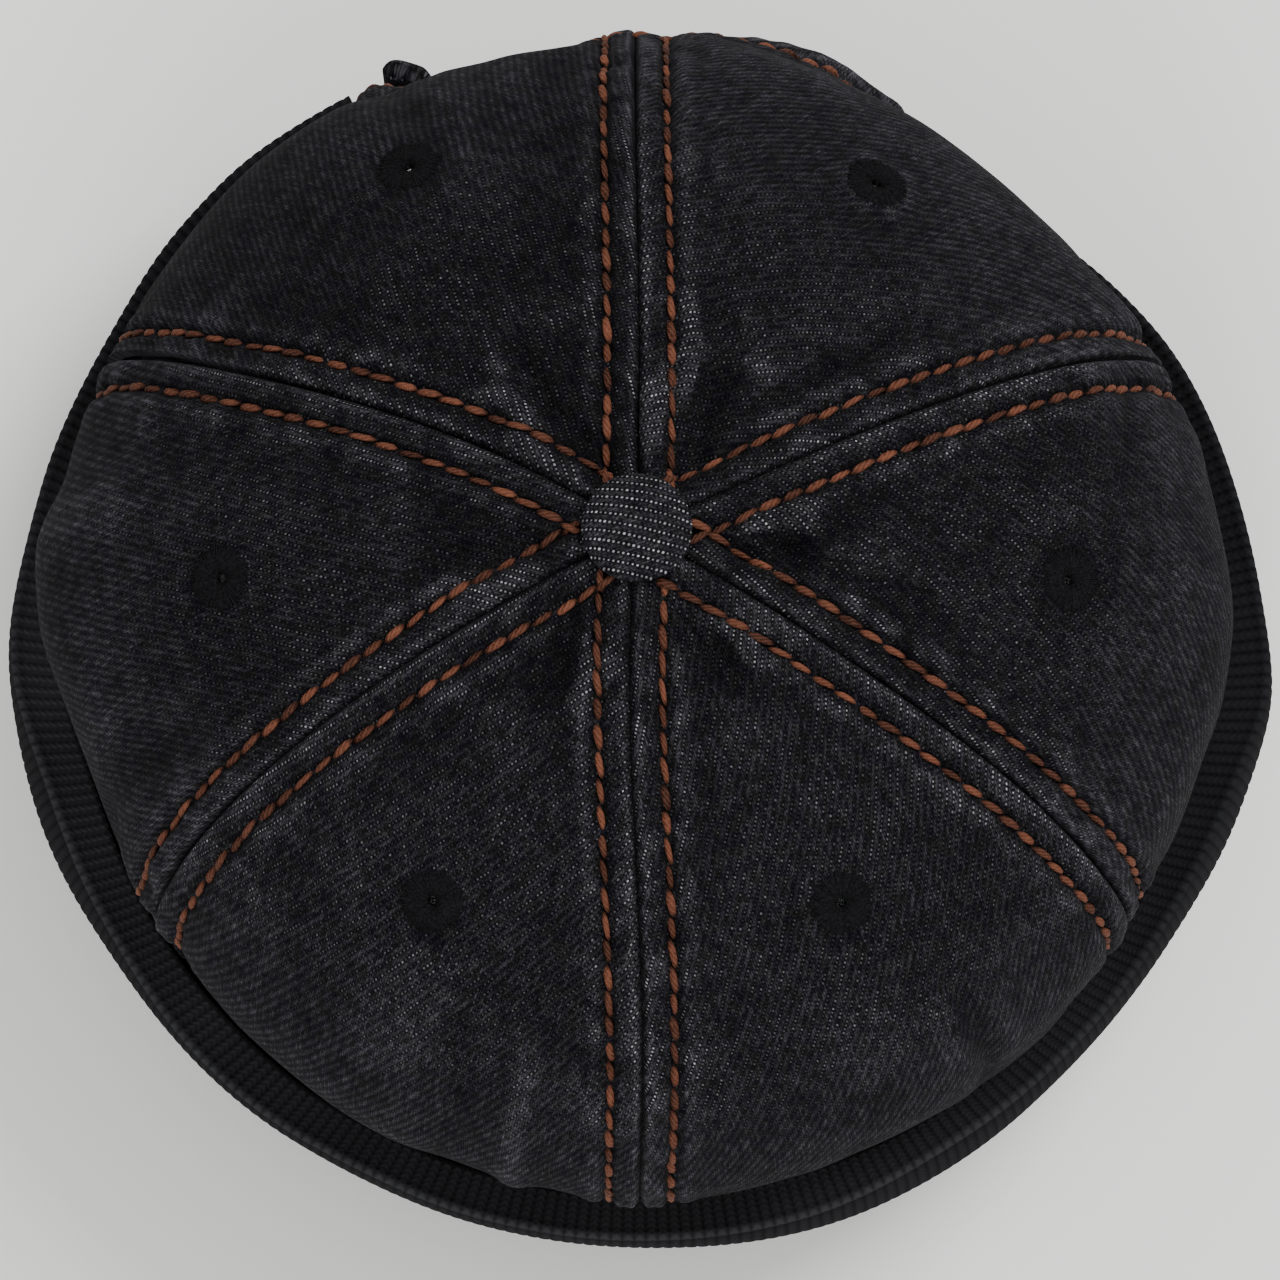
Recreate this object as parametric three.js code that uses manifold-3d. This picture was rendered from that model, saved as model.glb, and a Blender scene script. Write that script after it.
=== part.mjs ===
// A docker cap: a brimless cap with a six-panel denim crown, a covered top button, sewn
// eyelets, and a rib-knit cuff turned up round its edge. At the back an arch is cut in the
// crown and bridged by a denim strap with a slide. Millimetres, +Z up, the front towards -Y.
// The cap stands on the flat underside of its cuff, with the origin below its middle.
import * as THREE from "three";
import { mergeVertices } from "three/addons/utils/BufferGeometryUtils.js";
import Module from "manifold-3d";

// The crown's upright axis, how far its soft top leans off that axis, and its heights.
const AXIS = { x: 0.4, y: -0.6 };
const LEAN = { x: -0.5, y: 2.7 };
const CROWN_TOP_Z = 115.5;
const BELLY_Z = 67; // where the crown is widest
const WAIST_Z = 30; // from here down it is as narrow as its hem
const HEM_Z = 4.4;
const DENIM = 1.8; // wall, with what the seams add
const GAP = 0.3; // between pieces that touch

// The plan, every 15 degrees round the axis, anticlockwise from +X: the crown's outer radius
// at its belly and at its hem, and the cuff's outer radius at its rim.
const PLAN = [
  { azimuth: 0, belly: 94, hem: 90, rim: 101.6 },
  { azimuth: 15, belly: 92.6, hem: 90.2, rim: 100.8 },
  { azimuth: 30, belly: 92.3, hem: 90.3, rim: 99.4 },
  { azimuth: 45, belly: 91.5, hem: 90.4, rim: 98.2 },
  { azimuth: 60, belly: 91.8, hem: 90.6, rim: 99.2 },
  { azimuth: 75, belly: 93.3, hem: 90.8, rim: 100.5 },
  { azimuth: 90, belly: 94.8, hem: 91, rim: 103.2 },
  { azimuth: 105, belly: 92.9, hem: 91.1, rim: 103.9 },
  { azimuth: 120, belly: 95.5, hem: 91.2, rim: 104.3 },
  { azimuth: 135, belly: 95.6, hem: 91.2, rim: 103.6 },
  { azimuth: 150, belly: 94.3, hem: 91, rim: 101.5 },
  { azimuth: 165, belly: 93.7, hem: 90.8, rim: 101.7 },
  { azimuth: 180, belly: 95.3, hem: 90.4, rim: 102.4 },
  { azimuth: 195, belly: 90.1, hem: 89.6, rim: 101 },
  { azimuth: 210, belly: 90.3, hem: 88.6, rim: 98.9 },
  { azimuth: 225, belly: 91.2, hem: 87.8, rim: 98 },
  { azimuth: 240, belly: 91.8, hem: 87.1, rim: 97.2 },
  { azimuth: 255, belly: 92.2, hem: 86.7, rim: 97.2 },
  { azimuth: 270, belly: 93.8, hem: 86.5, rim: 97.6 },
  { azimuth: 285, belly: 92.5, hem: 86.7, rim: 98.7 },
  { azimuth: 300, belly: 92.1, hem: 87.1, rim: 98.2 },
  { azimuth: 315, belly: 91.4, hem: 87.8, rim: 97.6 },
  { azimuth: 330, belly: 91.3, hem: 88.7, rim: 97.8 },
  { azimuth: 345, belly: 92.2, hem: 89.5, rim: 100.2 },
];
const PLAN_STEP = 15;

// The seams, each with its azimuth at the button, halfway out, and at the belly and below it.
const SEAMS = {
  back_right: { top: 25, middle: 26, hem: 25.2 },
  back: { top: 87.8, middle: 89.9, hem: 90.4 },
  back_left: { top: 144.8, middle: 152.4, hem: 155.2 },
  front_left: { top: 207, middle: 208.9, hem: 212.4 },
  front: { top: 263.6, middle: 269.6, hem: 270 },
  front_right: { top: 331, middle: 329.5, hem: 327.4 },
};

// The panels, anticlockwise: the seams on either side, and the eyelet's azimuth and its
// distance from the axis. An arched panel is cut by the arch.
const PANELS = [
  { name: "side_right", from: "front_right", to: "back_right", eyelet: [356.8, 66.5] },
  { name: "back_right", from: "back_right", to: "back", eyelet: [58.5, 71.5], arched: true },
  { name: "back_left", from: "back", to: "back_left", eyelet: [119.6, 72.7], arched: true },
  { name: "side_left", from: "back_left", to: "front_left", eyelet: [183.3, 64.2] },
  { name: "front_left", from: "front_left", to: "front", eyelet: [240, 62.5] },
  { name: "front_right", from: "front", to: "front_right", eyelet: [299.7, 62.6] },
];
const PANEL_ACROSS = 8;
const DOME_STEPS = 10;
const WALL_STEPS = 5;
const TIP_ANGLE = 1.5; // the panels stop this many degrees from the pole, round the button's shank

// The arch: upright sides up to the spring, then a half superellipse, squarer than an ellipse.
const ARCH = { halfWidth: 47, springZ: 12, topZ: 72.5, squareness: 2.4, steps: 24 };

const EYELET = { hole: 1.5, neck: 2.1, cut: 2.5, flange: 4.4, bead: 0.9, innerFlange: 3.6 };

const BUTTON = { radius: 8.4, rise: 5.2, edge: 1.8, shank: 1.4, rivet: 5, rivetThick: 1 };

// The cuff: its foot passes under the crown's hem, and its wall stands up outside.
const CUFF = { from: 117.5, to: 422.5, steps: 60, knit: 4.1, rimZ: 46, rimThick: 4.8 };

// The slide, its azimuth and its distance from the axis. The strap and the tab lie on routes
// for the middle of their cloth. A route's point is an azimuth and a radius about the axis,
// or, near the slide, a distance along the slide and one out from its middle.
const SLIDE = { azimuth: 102.5, radius: 90.4, length: 18, height: 26, thick: 2, bar: 2.2, rail: 2.4 };
const STRAP = { lowZ: 17, width: 20, cloth: 1.6 };
const STRAP_ROUTE = [
  { azimuth: 50, radius: 85.7 },
  { azimuth: 58, radius: 85.9 },
  { azimuth: 66, radius: 87 },
  { azimuth: 75, radius: 88.4 },
  { azimuth: 84, radius: 89 },
  { azimuth: 92, radius: 88.6 },
  { along: -10, out: -2.3 },
  { along: -6.6, out: -2.2 },
  { along: -3.9, out: 0 },
  { along: -1.2, out: 2.2 },
  { along: 2, out: 3.1 },
  { along: 5.5, out: 4 },
  { along: 9, out: 4.6 },
  { along: 12.2, out: 6.4 },
  { along: 15, out: 9.2 },
  { along: 17.2, out: 12.2 },
  { along: 19, out: 14.4 },
];
const TAB = { lowZ: 18.5, width: 17, cloth: 1 };
const TAB_ROUTE = [
  { azimuth: 124, radius: 87.9 },
  { azimuth: 118, radius: 87.5 },
  { along: 15, out: -2.3 },
  { along: 9.4, out: -2.1 },
  { along: 7.3, out: -2.1 },
  { along: 5.9, out: -1.5 },
  { along: 5.5, out: 0 },
  { along: 5.9, out: 1.5 },
  { along: 7.3, out: 2.1 },
  { along: 9.4, out: 2.1 },
  { along: 13, out: 2 },
];

const wasm = await Module();
wasm.setup();

const radians = THREE.MathUtils.degToRad;
const lerp = THREE.MathUtils.lerp;

// A column of PLAN at any azimuth, on a smooth closed curve through its rows.
function plan(column, azimuth) {
  const place = THREE.MathUtils.euclideanModulo(azimuth, 360) / PLAN_STEP;
  const index = Math.floor(place);
  const t = place - index;
  const row = (shift) => PLAN[(index + shift + PLAN.length) % PLAN.length][column];
  const [a, b, c, d] = [row(-1), row(0), row(1), row(2)];
  const cubic = 3 * b - a - 3 * c + d;
  return 0.5 * (2 * b + (c - a) * t + (2 * a - 5 * b + 4 * c - d) * t * t + cubic * t * t * t);
}

// A point at an azimuth, a distance from the axis and a height. Above the belly the axis leans.
function polar(azimuth, radius, z) {
  const angle = radians(azimuth);
  const lean = Math.max(0, (z - BELLY_Z) / (CROWN_TOP_Z - BELLY_Z));
  return new THREE.Vector3(
    AXIS.x + LEAN.x * lean + radius * Math.cos(angle),
    AXIS.y + LEAN.y * lean + radius * Math.sin(angle),
    z,
  );
}

// The crown's wall below the belly: its outer radius at a height.
function wallRadius(azimuth, z) {
  const share = THREE.MathUtils.smoothstep(BELLY_Z - z, 0, BELLY_Z - WAIST_Z);
  return lerp(plan("belly", azimuth), plan("hem", azimuth), share);
}

// How far a row of the crown is turned from the pole, up to a right angle at the belly.
function rowAngle(row) {
  return lerp(radians(TIP_ANGLE), Math.PI / 2, Math.min(1, row / DOME_STEPS));
}

// The crown at a row, from 0 at the top through DOME_STEPS at the belly to the hem: the
// radius and height of its outer face, or of a face that lies inset behind it.
function crownSection(azimuth, row, inset) {
  const belly = plan("belly", azimuth);
  const rise = CROWN_TOP_Z - BELLY_Z;
  if (row >= DOME_STEPS) {
    const z = lerp(BELLY_Z, HEM_Z, (row - DOME_STEPS) / WALL_STEPS);
    return { radius: wallRadius(azimuth, z) - inset, z };
  }
  const angle = rowAngle(row);
  const normal = new THREE.Vector2(Math.sin(angle) * rise, Math.cos(angle) * belly).normalize();
  return {
    radius: belly * Math.sin(angle) - inset * normal.x,
    z: BELLY_Z + rise * Math.cos(angle) - inset * normal.y,
  };
}

// A seam's azimuth at a row, on the parabola through its three stated ones.
function seamAzimuth({ top, middle, hem }, row) {
  const t = Math.sin(rowAngle(row));
  return top * (1 - t) * (1 - 2 * t) + 4 * middle * t * (1 - t) + hem * t * (2 * t - 1);
}

// A closed mesh from vertices and triangles that share them.
function closedGeometry(vertices, triangles) {
  const positions = new Float32Array(vertices.flatMap((v) => v.toArray()));
  const geometry = new THREE.BufferGeometry();
  geometry.setAttribute("position", new THREE.BufferAttribute(positions, 3));
  geometry.setIndex(triangles);
  return geometry;
}

// A bar through like sections, each a loop of points that runs anticlockwise seen from the
// end of the bar.
function sweep(sections) {
  const count = sections[0].length;
  const triangles = [];
  for (let s = 0; s + 1 < sections.length; s++) {
    for (let i = 0; i < count; i++) {
      const a = s * count + i;
      const b = s * count + ((i + 1) % count);
      triangles.push(a, b, b + count, a, b + count, a + count);
    }
  }
  const flat = flatten(sections[0]);
  const last = (sections.length - 1) * count;
  for (const [a, b, c] of THREE.ShapeUtils.triangulateShape(flat, [])) {
    triangles.push(a, c, b, last + a, last + b, last + c);
  }
  return closedGeometry(sections.flat(), triangles);
}

// A planar section's own 2-D outline, anticlockwise.
function flatten(section) {
  const outward = new THREE.Vector3();
  const centre = new THREE.Vector3();
  for (const point of section) centre.addScaledVector(point, 1 / section.length);
  section.forEach((point, i) => {
    const next = section[(i + 1) % section.length];
    outward.add(point.clone().sub(centre).cross(next.clone().sub(centre)));
  });
  outward.normalize();
  const u = section[1].clone().sub(section[0]).normalize();
  const v = outward.clone().cross(u);
  return section.map((point) => new THREE.Vector2(point.dot(u), point.dot(v)));
}

function toSolid(geometry) {
  const bare = geometry.clone();
  bare.deleteAttribute("normal");
  bare.deleteAttribute("uv");
  const merged = mergeVertices(bare, 1e-4);
  return new wasm.Manifold(
    new wasm.Mesh({
      numProp: 3,
      vertProperties: merged.attributes.position.array,
      triVerts: new Uint32Array(merged.index.array),
    }),
  );
}

function toGeometry(solid) {
  const mesh = solid.getMesh();
  const geometry = new THREE.BufferGeometry();
  geometry.setAttribute("position", new THREE.BufferAttribute(mesh.vertProperties, 3));
  geometry.setIndex(new THREE.BufferAttribute(mesh.triVerts, 1));
  return geometry.toNonIndexed();
}

// One gore: a curved wall between two seams, from the button down to the hem.
function goreWall(panel) {
  const from = SEAMS[panel.from];
  const to = SEAMS[panel.to];
  const wrapped = to.top < from.top ? 360 : 0;
  const sections = [];
  for (let column = 0; column <= PANEL_ACROSS; column++) {
    const across = column / PANEL_ACROSS;
    const point = (row, inset) => {
      const start = seamAzimuth(from, row);
      const end = seamAzimuth(to, row) + wrapped;
      const trim = THREE.MathUtils.radToDeg(GAP / 2 / crownSection(start, row, 0).radius);
      const azimuth = lerp(start + trim, end - trim, across);
      const place = crownSection(azimuth, row, inset);
      return polar(azimuth, place.radius, place.z);
    };
    const rows = [...Array(DOME_STEPS + WALL_STEPS + 1).keys()];
    const outside = rows.map((row) => point(row, 0));
    const inside = rows.map((row) => point(row, DENIM)).reverse();
    sections.push([...outside, ...inside]);
  }
  return toSolid(sweep(sections));
}

// A point of the dome's outer face.
function domePoint(azimuth, radius) {
  const share = radius / plan("belly", azimuth);
  return polar(azimuth, radius, BELLY_Z + (CROWN_TOP_Z - BELLY_Z) * Math.sqrt(1 - share * share));
}

// The eyelet's place on the outer face and the outward normal there.
function eyeletSeat(panel) {
  const [azimuth, radius] = panel.eyelet;
  const place = domePoint(azimuth, radius);
  const downhill = domePoint(azimuth, radius + EYELET.neck).sub(place);
  const across = domePoint(azimuth + 1, radius).sub(place);
  return { place, normal: downhill.cross(across).normalize() };
}

// Turns a geometry's +Y to the normal of a seat and moves it there.
function seated(geometry, seat) {
  const up = new THREE.Vector3(0, 1, 0);
  geometry.applyQuaternion(new THREE.Quaternion().setFromUnitVectors(up, seat.normal));
  return geometry.translate(...seat.place.toArray());
}

function eyeletCut(panel) {
  const drill = new THREE.CylinderGeometry(EYELET.cut, EYELET.cut, 4 * DENIM, 16);
  return toSolid(seated(drill, eyeletSeat(panel)));
}

// The arch, cut through the back from its upright sides to its rounded top.
function archCut() {
  const { halfWidth, springZ, topZ, squareness, steps } = ARCH;
  const shape = new THREE.Shape();
  shape.moveTo(-halfWidth, -10);
  shape.lineTo(halfWidth, -10);
  for (let step = 0; step <= steps; step++) {
    const angle = Math.PI * (step / steps);
    const x = halfWidth * Math.sign(Math.cos(angle)) * Math.abs(Math.cos(angle)) ** (2 / squareness);
    shape.lineTo(x, lerp(springZ, topZ, Math.sin(angle) ** (2 / squareness)));
  }
  const depth = 100;
  const prism = new THREE.ExtrudeGeometry(shape, { depth, bevelEnabled: false });
  prism.rotateX(Math.PI / 2);
  prism.translate(AXIS.x, AXIS.y + 20 + depth, 0);
  return toSolid(prism);
}

function panelGeometry(panel) {
  let solid = goreWall(panel).subtract(eyeletCut(panel));
  if (panel.arched) solid = solid.subtract(archCut());
  return toGeometry(solid);
}

// A sewn eyelet: a ring of thread on each face, joined through the hole.
function eyeletGeometry(panel) {
  const outer = GAP;
  const inner = -DENIM - 2 * GAP; // the flat facets of the wall lie a little deeper than its curve
  const { hole, neck, flange, bead, innerFlange } = EYELET;
  const profile = [
    [hole, inner - bead * 0.6],
    [innerFlange - 0.5, inner - bead * 0.6],
    [innerFlange, inner],
    [neck, inner],
    [neck, outer],
    [flange, outer],
    [flange - 0.5, outer + bead * 0.8],
    [(hole + flange) / 2, outer + bead],
    [hole, outer + bead * 0.5],
    [hole, inner - bead * 0.6],
  ];
  const points = profile.map(([radius, height]) => new THREE.Vector2(radius, height));
  return seated(new THREE.LatheGeometry(points, 16), eyeletSeat(panel));
}

// The covered button, its shank and the rivet head inside the crown, as one turned piece.
function buttonGeometry() {
  const base = CROWN_TOP_Z + GAP;
  const inside = CROWN_TOP_Z - DENIM - GAP;
  const { radius, rise, edge, shank, rivet, rivetThick } = BUTTON;
  const points = [
    new THREE.Vector2(0, inside - rivetThick),
    new THREE.Vector2(rivet - 0.6, inside - rivetThick),
    new THREE.Vector2(rivet, inside - 0.4),
    new THREE.Vector2(rivet, inside),
    new THREE.Vector2(shank, inside),
    new THREE.Vector2(shank, base),
    new THREE.Vector2(radius - 0.7, base),
    new THREE.Vector2(radius, base + edge * 0.5),
  ];
  const domeSteps = 7;
  for (let step = 0; step <= domeSteps; step++) {
    const angle = (Math.PI / 2) * (step / domeSteps);
    const height = base + edge + (rise - edge) * Math.sin(angle);
    points.push(new THREE.Vector2(step === domeSteps ? 0 : radius * Math.cos(angle), height));
  }
  const geometry = new THREE.LatheGeometry(points, 32);
  return geometry.rotateX(Math.PI / 2).translate(...polar(0, 0, CROWN_TOP_Z).setZ(0).toArray());
}

// The cuff's section: the foot, the outer face that leans out, the round rim and the inner
// face that runs down to the hem.
function cuffSection(azimuth) {
  const hem = plan("hem", azimuth);
  const rim = plan("rim", azimuth);
  const { knit, rimZ, rimThick } = CUFF;
  const round = rimThick / 2;
  const outline = [
    [hem - DENIM - 0.4, 0],
    [hem + knit - 0.8, 0],
    [hem + knit + 0.4, 1.2],
    [lerp(hem + knit + 0.4, rim, 0.45), rimZ * 0.45],
  ];
  const rimSteps = 5;
  for (let step = 0; step <= rimSteps; step++) {
    const angle = Math.PI * (step / rimSteps);
    outline.push([rim - round + round * Math.cos(angle), rimZ - round + round * Math.sin(angle)]);
  }
  outline.push([lerp(hem + 0.5, rim - rimThick, 0.35), rimZ * 0.45]);
  outline.push([hem + 0.5, HEM_Z - GAP]);
  outline.push([hem - DENIM - 0.4, HEM_Z - GAP]);
  return outline.map(([radius, z]) => polar(azimuth, radius, z)).reverse();
}

function cuffGeometry() {
  const sections = [];
  for (let step = 0; step <= CUFF.steps; step++) {
    sections.push(cuffSection(lerp(CUFF.from, CUFF.to, step / CUFF.steps)));
  }
  return sweep(sections);
}

function routePoint({ azimuth, radius, along, out }) {
  if (along === undefined) return polar(azimuth, radius, 0);
  const seat = polar(SLIDE.azimuth, SLIDE.radius + out, 0);
  const forward = polar(SLIDE.azimuth + 90, 1, 0).sub(polar(0, 0, 0));
  return seat.addScaledVector(forward, along);
}

// A flat band of cloth stood on its edge along a route.
function bandGeometry(band, route, steps) {
  const points = route.map(routePoint);
  const curve = new THREE.CatmullRomCurve3(points, false, "centripetal");
  const sections = [];
  for (let step = 0; step <= steps; step++) {
    const middle = curve.getPointAt(step / steps);
    const along = curve.getTangentAt(step / steps);
    const out = new THREE.Vector3(along.y, -along.x, 0).multiplyScalar(band.cloth / 2);
    const corner = (side, z) => middle.clone().addScaledVector(out, side).setZ(z);
    const top = band.lowZ + band.width;
    sections.push([corner(1, band.lowZ), corner(-1, band.lowZ), corner(-1, top), corner(1, top)]);
  }
  return sweep(sections);
}

// The slide: a plain plate with two windows and a bar between them.
function slideGeometry() {
  const { length, height, thick, bar, rail } = SLIDE;
  const windowLength = (length - 3 * bar) / 2;
  let plate = toSolid(new THREE.BoxGeometry(length, thick, height));
  for (const side of [-1, 1]) {
    const cut = new THREE.BoxGeometry(windowLength, 3 * thick, height - 2 * rail);
    cut.translate((side * (windowLength + bar)) / 2, 0, 0);
    plate = plate.subtract(toSolid(cut));
  }
  const middle = polar(SLIDE.azimuth, SLIDE.radius, STRAP.lowZ + STRAP.width / 2);
  const turned = toGeometry(plate).rotateZ(radians(SLIDE.azimuth - 90));
  return turned.translate(...middle.toArray());
}

const denim = new THREE.MeshStandardMaterial({ color: "#2a2a30", roughness: 0.9 });
const knitwear = new THREE.MeshStandardMaterial({ color: "#151817", roughness: 0.95 });
const thread = new THREE.MeshStandardMaterial({ color: "#121213", roughness: 0.8 });
const metal = new THREE.MeshStandardMaterial({ color: "#4a4744", roughness: 0.4, metalness: 1 });

const cap = new THREE.Group();

function add(parent, name, geometry, material) {
  const mesh = new THREE.Mesh(geometry, material);
  mesh.name = name;
  parent.add(mesh);
}

const crown = new THREE.Group();
for (const panel of PANELS) {
  add(crown, "panel_" + panel.name, panelGeometry(panel), denim);
  add(crown, "eyelet_" + panel.name, eyeletGeometry(panel), thread);
}
add(crown, "button", buttonGeometry(), denim);
cap.add(crown);

add(cap, "cuff", cuffGeometry(), knitwear);

const closure = new THREE.Group();
add(closure, "strap", bandGeometry(STRAP, STRAP_ROUTE, 44), denim);
add(closure, "strap_tab", bandGeometry(TAB, TAB_ROUTE, 28), denim);
add(closure, "strap_slide", slideGeometry(), metal);
cap.add(closure);

export default cap;
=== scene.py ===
"""A docker cap made up for show: six washed black denim panels with rust topstitching, sewn
eyelets, a covered button, a rib-knit cuff, and a denim strap with its slide at the back."""

import itertools
import math

import bmesh
import bpy
import numpy as np
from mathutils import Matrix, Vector


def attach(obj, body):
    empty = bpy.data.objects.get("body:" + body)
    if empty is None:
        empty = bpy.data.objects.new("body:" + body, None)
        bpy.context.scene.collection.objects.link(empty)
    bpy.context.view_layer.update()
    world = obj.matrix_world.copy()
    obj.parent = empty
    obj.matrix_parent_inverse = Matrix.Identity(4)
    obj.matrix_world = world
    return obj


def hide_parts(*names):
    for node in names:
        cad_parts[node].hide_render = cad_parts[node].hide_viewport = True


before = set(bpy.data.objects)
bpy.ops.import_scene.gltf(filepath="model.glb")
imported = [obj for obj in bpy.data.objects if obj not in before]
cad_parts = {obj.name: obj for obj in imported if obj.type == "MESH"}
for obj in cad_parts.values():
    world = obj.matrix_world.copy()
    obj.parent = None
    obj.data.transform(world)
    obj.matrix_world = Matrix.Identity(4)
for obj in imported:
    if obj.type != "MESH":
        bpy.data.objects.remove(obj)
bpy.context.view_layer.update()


# The studio. The cap stands on a plain pale tabletop, a matt painted board, under a large
# overhead softbox with a weaker fill from the front, and is seen from steeply above.

CAMERA_AIM = Vector((0.0004, 0.0001, 0.045))
CAMERA_ELEVATION = math.radians(78)
CAMERA_DISTANCE = 1.1
CAMERA_LENS = 191.2  # millimetres, on a sensor 36 mm wide
TABLE_SIZE = 6.0
TABLE_WHITE = "#fafaf8"
SOFTBOX_SIZE = 0.7
ROOM_LIGHT = 0.83  # the even light that the studio's white walls give back


def linear(colour):
    """An sRGB hex colour as Blender's linear numbers."""
    channels = [int(colour[i : i + 2], 16) / 255 for i in (1, 3, 5)]
    return (*(c / 12.92 if c <= 0.04045 else ((c + 0.055) / 1.055) ** 2.4 for c in channels), 1.0)


def node(tree, kind, links=(), **settings):
    """Adds a node with its settings. links gives its inputs, by name or place or simply in their
    order: each is a value, a socket, or a node whose first output is meant."""
    made = tree.nodes.new(kind)
    for name, value in settings.items():
        setattr(made, name, value)
    for key, value in links.items() if isinstance(links, dict) else enumerate(links):
        if isinstance(value, bpy.types.Node):
            value = value.outputs[0]
        if isinstance(value, bpy.types.NodeSocket):
            tree.links.new(value, made.inputs[key])
        else:
            made.inputs[key].default_value = value
    return made


def new_material(name):
    """An empty material: its tree and its shader, which is linked to the output."""
    material = bpy.data.materials.new(name)
    material.use_nodes = True
    tree = material.node_tree
    tree.nodes.clear()
    shader = node(tree, "ShaderNodeBsdfPrincipled")
    node(tree, "ShaderNodeOutputMaterial", {"Surface": shader})
    return material, tree, shader


def set_shader(shader, colour, values, normal=None):
    """Sets the shader's colour, its plain values by name, and the bump that it takes."""
    if isinstance(colour, str):
        shader.inputs["Base Color"].default_value = linear(colour)
    else:
        shader.id_data.links.new(colour, shader.inputs["Base Color"])
    for name, value in values.items():
        shader.inputs[name].default_value = value
    if normal:
        shader.id_data.links.new(normal.outputs[0], shader.inputs["Normal"])


def placed(name, data):
    """A new object in the scene."""
    made = bpy.data.objects.new(name, data)
    bpy.context.scene.collection.objects.link(made)
    return made


def painted_board():
    """Matt painted board: an even, slightly warm white with no gloss."""
    material, _, shader = new_material("painted_board")
    set_shader(shader, TABLE_WHITE, {"Roughness": 0.9, "Specular IOR Level": 0.1})
    return material


def table():
    half = TABLE_SIZE / 2
    corners = [(-half, -half, 0), (half, -half, 0), (half, half, 0), (-half, half, 0)]
    mesh = bpy.data.meshes.new("table")
    mesh.from_pydata(corners, [], [(0, 1, 2, 3)])
    mesh.materials.append(painted_board())
    placed("table", mesh)


def softbox(name, place, watts):
    """A square area lamp that faces the cap."""
    lamp = bpy.data.lights.new(name, "AREA")
    lamp.size = SOFTBOX_SIZE
    lamp.energy = watts
    made = placed(name, lamp)
    made.location = place
    made.rotation_euler = (CAMERA_AIM - Vector(place)).to_track_quat("-Z", "Y").to_euler()


def camera():
    made = placed("camera", bpy.data.cameras.new("camera"))
    made.data.lens = CAMERA_LENS
    back = Vector((0, -math.cos(CAMERA_ELEVATION), math.sin(CAMERA_ELEVATION)))
    made.location = CAMERA_AIM + back * CAMERA_DISTANCE
    made.rotation_euler = (math.pi / 2 - CAMERA_ELEVATION, 0, 0)
    bpy.context.scene.camera = made


table()
camera()
softbox("overhead", (0.75, 0.55, 1.35), 19.5)
softbox("front_fill", (-0.15, -1.15, 0.8), 9)
world = bpy.data.worlds.new("studio_white")
world.use_nodes = True
world.node_tree.nodes["Background"].inputs["Color"].default_value = linear("#ffffff")
world.node_tree.nodes["Background"].inputs["Strength"].default_value = ROOM_LIGHT
bpy.context.scene.world = world


# The six crown panels. Each is one gore of washed black denim, a three-and-one twill of black
# warp over white weft, seamed to its neighbours with the allowances pressed open beneath. The
# two back ones are cut to the arch, whose edge is turned under and stitched down.

MM = 0.001
AXIS = (0.4, -0.6)  # millimetres, as all sizes below
LEAN = (-0.5, 2.7)
CROWN_TOP_Z = 115.5
BELLY_Z = 67.0
WAIST_Z = 30.0
HEM_Z = 4.4
RISE = CROWN_TOP_Z - BELLY_Z
CLOTH = 1.6
ARCH_HALF_WIDTH = 47.0
ARCH_SPRING_Z = 12.0
ARCH_TOP_Z = 72.5
ARCH_SQUARENESS = 2.4

# Every 15 degrees round the axis: the crown's radius at its belly and its hem, and the cuff's
# at the ridge of its fold and where its outer face swells most.
PLAN = np.array(
    [
        (0, 94.0, 90.0, 99.9, 101.2),
        (15, 92.6, 90.2, 99.4, 100.5),
        (30, 92.3, 90.3, 98.6, 100.2),
        (45, 91.5, 90.4, 95.2, 97.0),
        (60, 91.8, 90.6, 93.6, 95.4),
        (75, 93.3, 90.8, 94.6, 96.4),
        (90, 94.8, 91.0, 99.0, 100.6),
        (105, 92.9, 91.1, 102.9, 104.2),
        (120, 95.5, 91.2, 103.0, 103.4),
        (135, 95.6, 91.2, 102.4, 102.8),
        (150, 94.3, 91.0, 100.1, 100.8),
        (165, 93.7, 90.8, 100.0, 101.0),
        (180, 95.3, 90.4, 99.6, 101.0),
        (195, 90.1, 89.6, 97.3, 101.0),
        (210, 90.3, 88.6, 96.4, 98.6),
        (225, 91.2, 87.8, 96.8, 97.7),
        (240, 91.8, 87.1, 95.9, 96.6),
        (255, 92.2, 86.7, 96.0, 96.4),
        (270, 93.8, 86.5, 96.1, 96.7),
        (285, 92.5, 86.7, 96.1, 97.9),
        (300, 92.1, 87.1, 94.9, 97.7),
        (315, 91.4, 87.8, 94.9, 96.9),
        (330, 91.3, 88.7, 95.4, 97.7),
        (345, 92.2, 89.5, 97.6, 100.6),
    ],
    dtype=[("azimuth", float), ("belly", float), ("hem", float), ("rim", float), ("swell", float)],
)

# The seams' azimuths at the button, halfway out, and at the belly and below it, and how far
# the cloth beside each seam stands off the crown's smooth face at the belly.
SEAMS = {
    "back_right": (25.0, 26.0, 25.2, -1.3),
    "back": (87.8, 89.9, 90.4, -1.9),
    "back_left": (144.8, 152.4, 155.2, -0.4),
    "front_left": (207.0, 208.9, 212.4, -0.9),
    "front": (263.6, 269.6, 270.0, 0.0),
    "front_right": (331.0, 329.5, 327.4, -0.7),
}

# The panels: the seams on either side, the eyelet's azimuth and its distance from the axis,
# and the degrees by which the cloth's grain is off the panel's middle line.
PANELS = {
    "side_right": ("front_right", "back_right", (356.8, 66.5), -3),
    "back_right": ("back_right", "back", (58.5, 71.5), -16),
    "back_left": ("back", "back_left", (119.6, 72.7), 18),
    "side_left": ("back_left", "front_left", (183.3, 64.2), 11),
    "front_left": ("front_left", "front", (240.0, 62.5), 6),
    "front_right": ("front", "front_right", (299.7, 62.6), -3),
}
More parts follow.
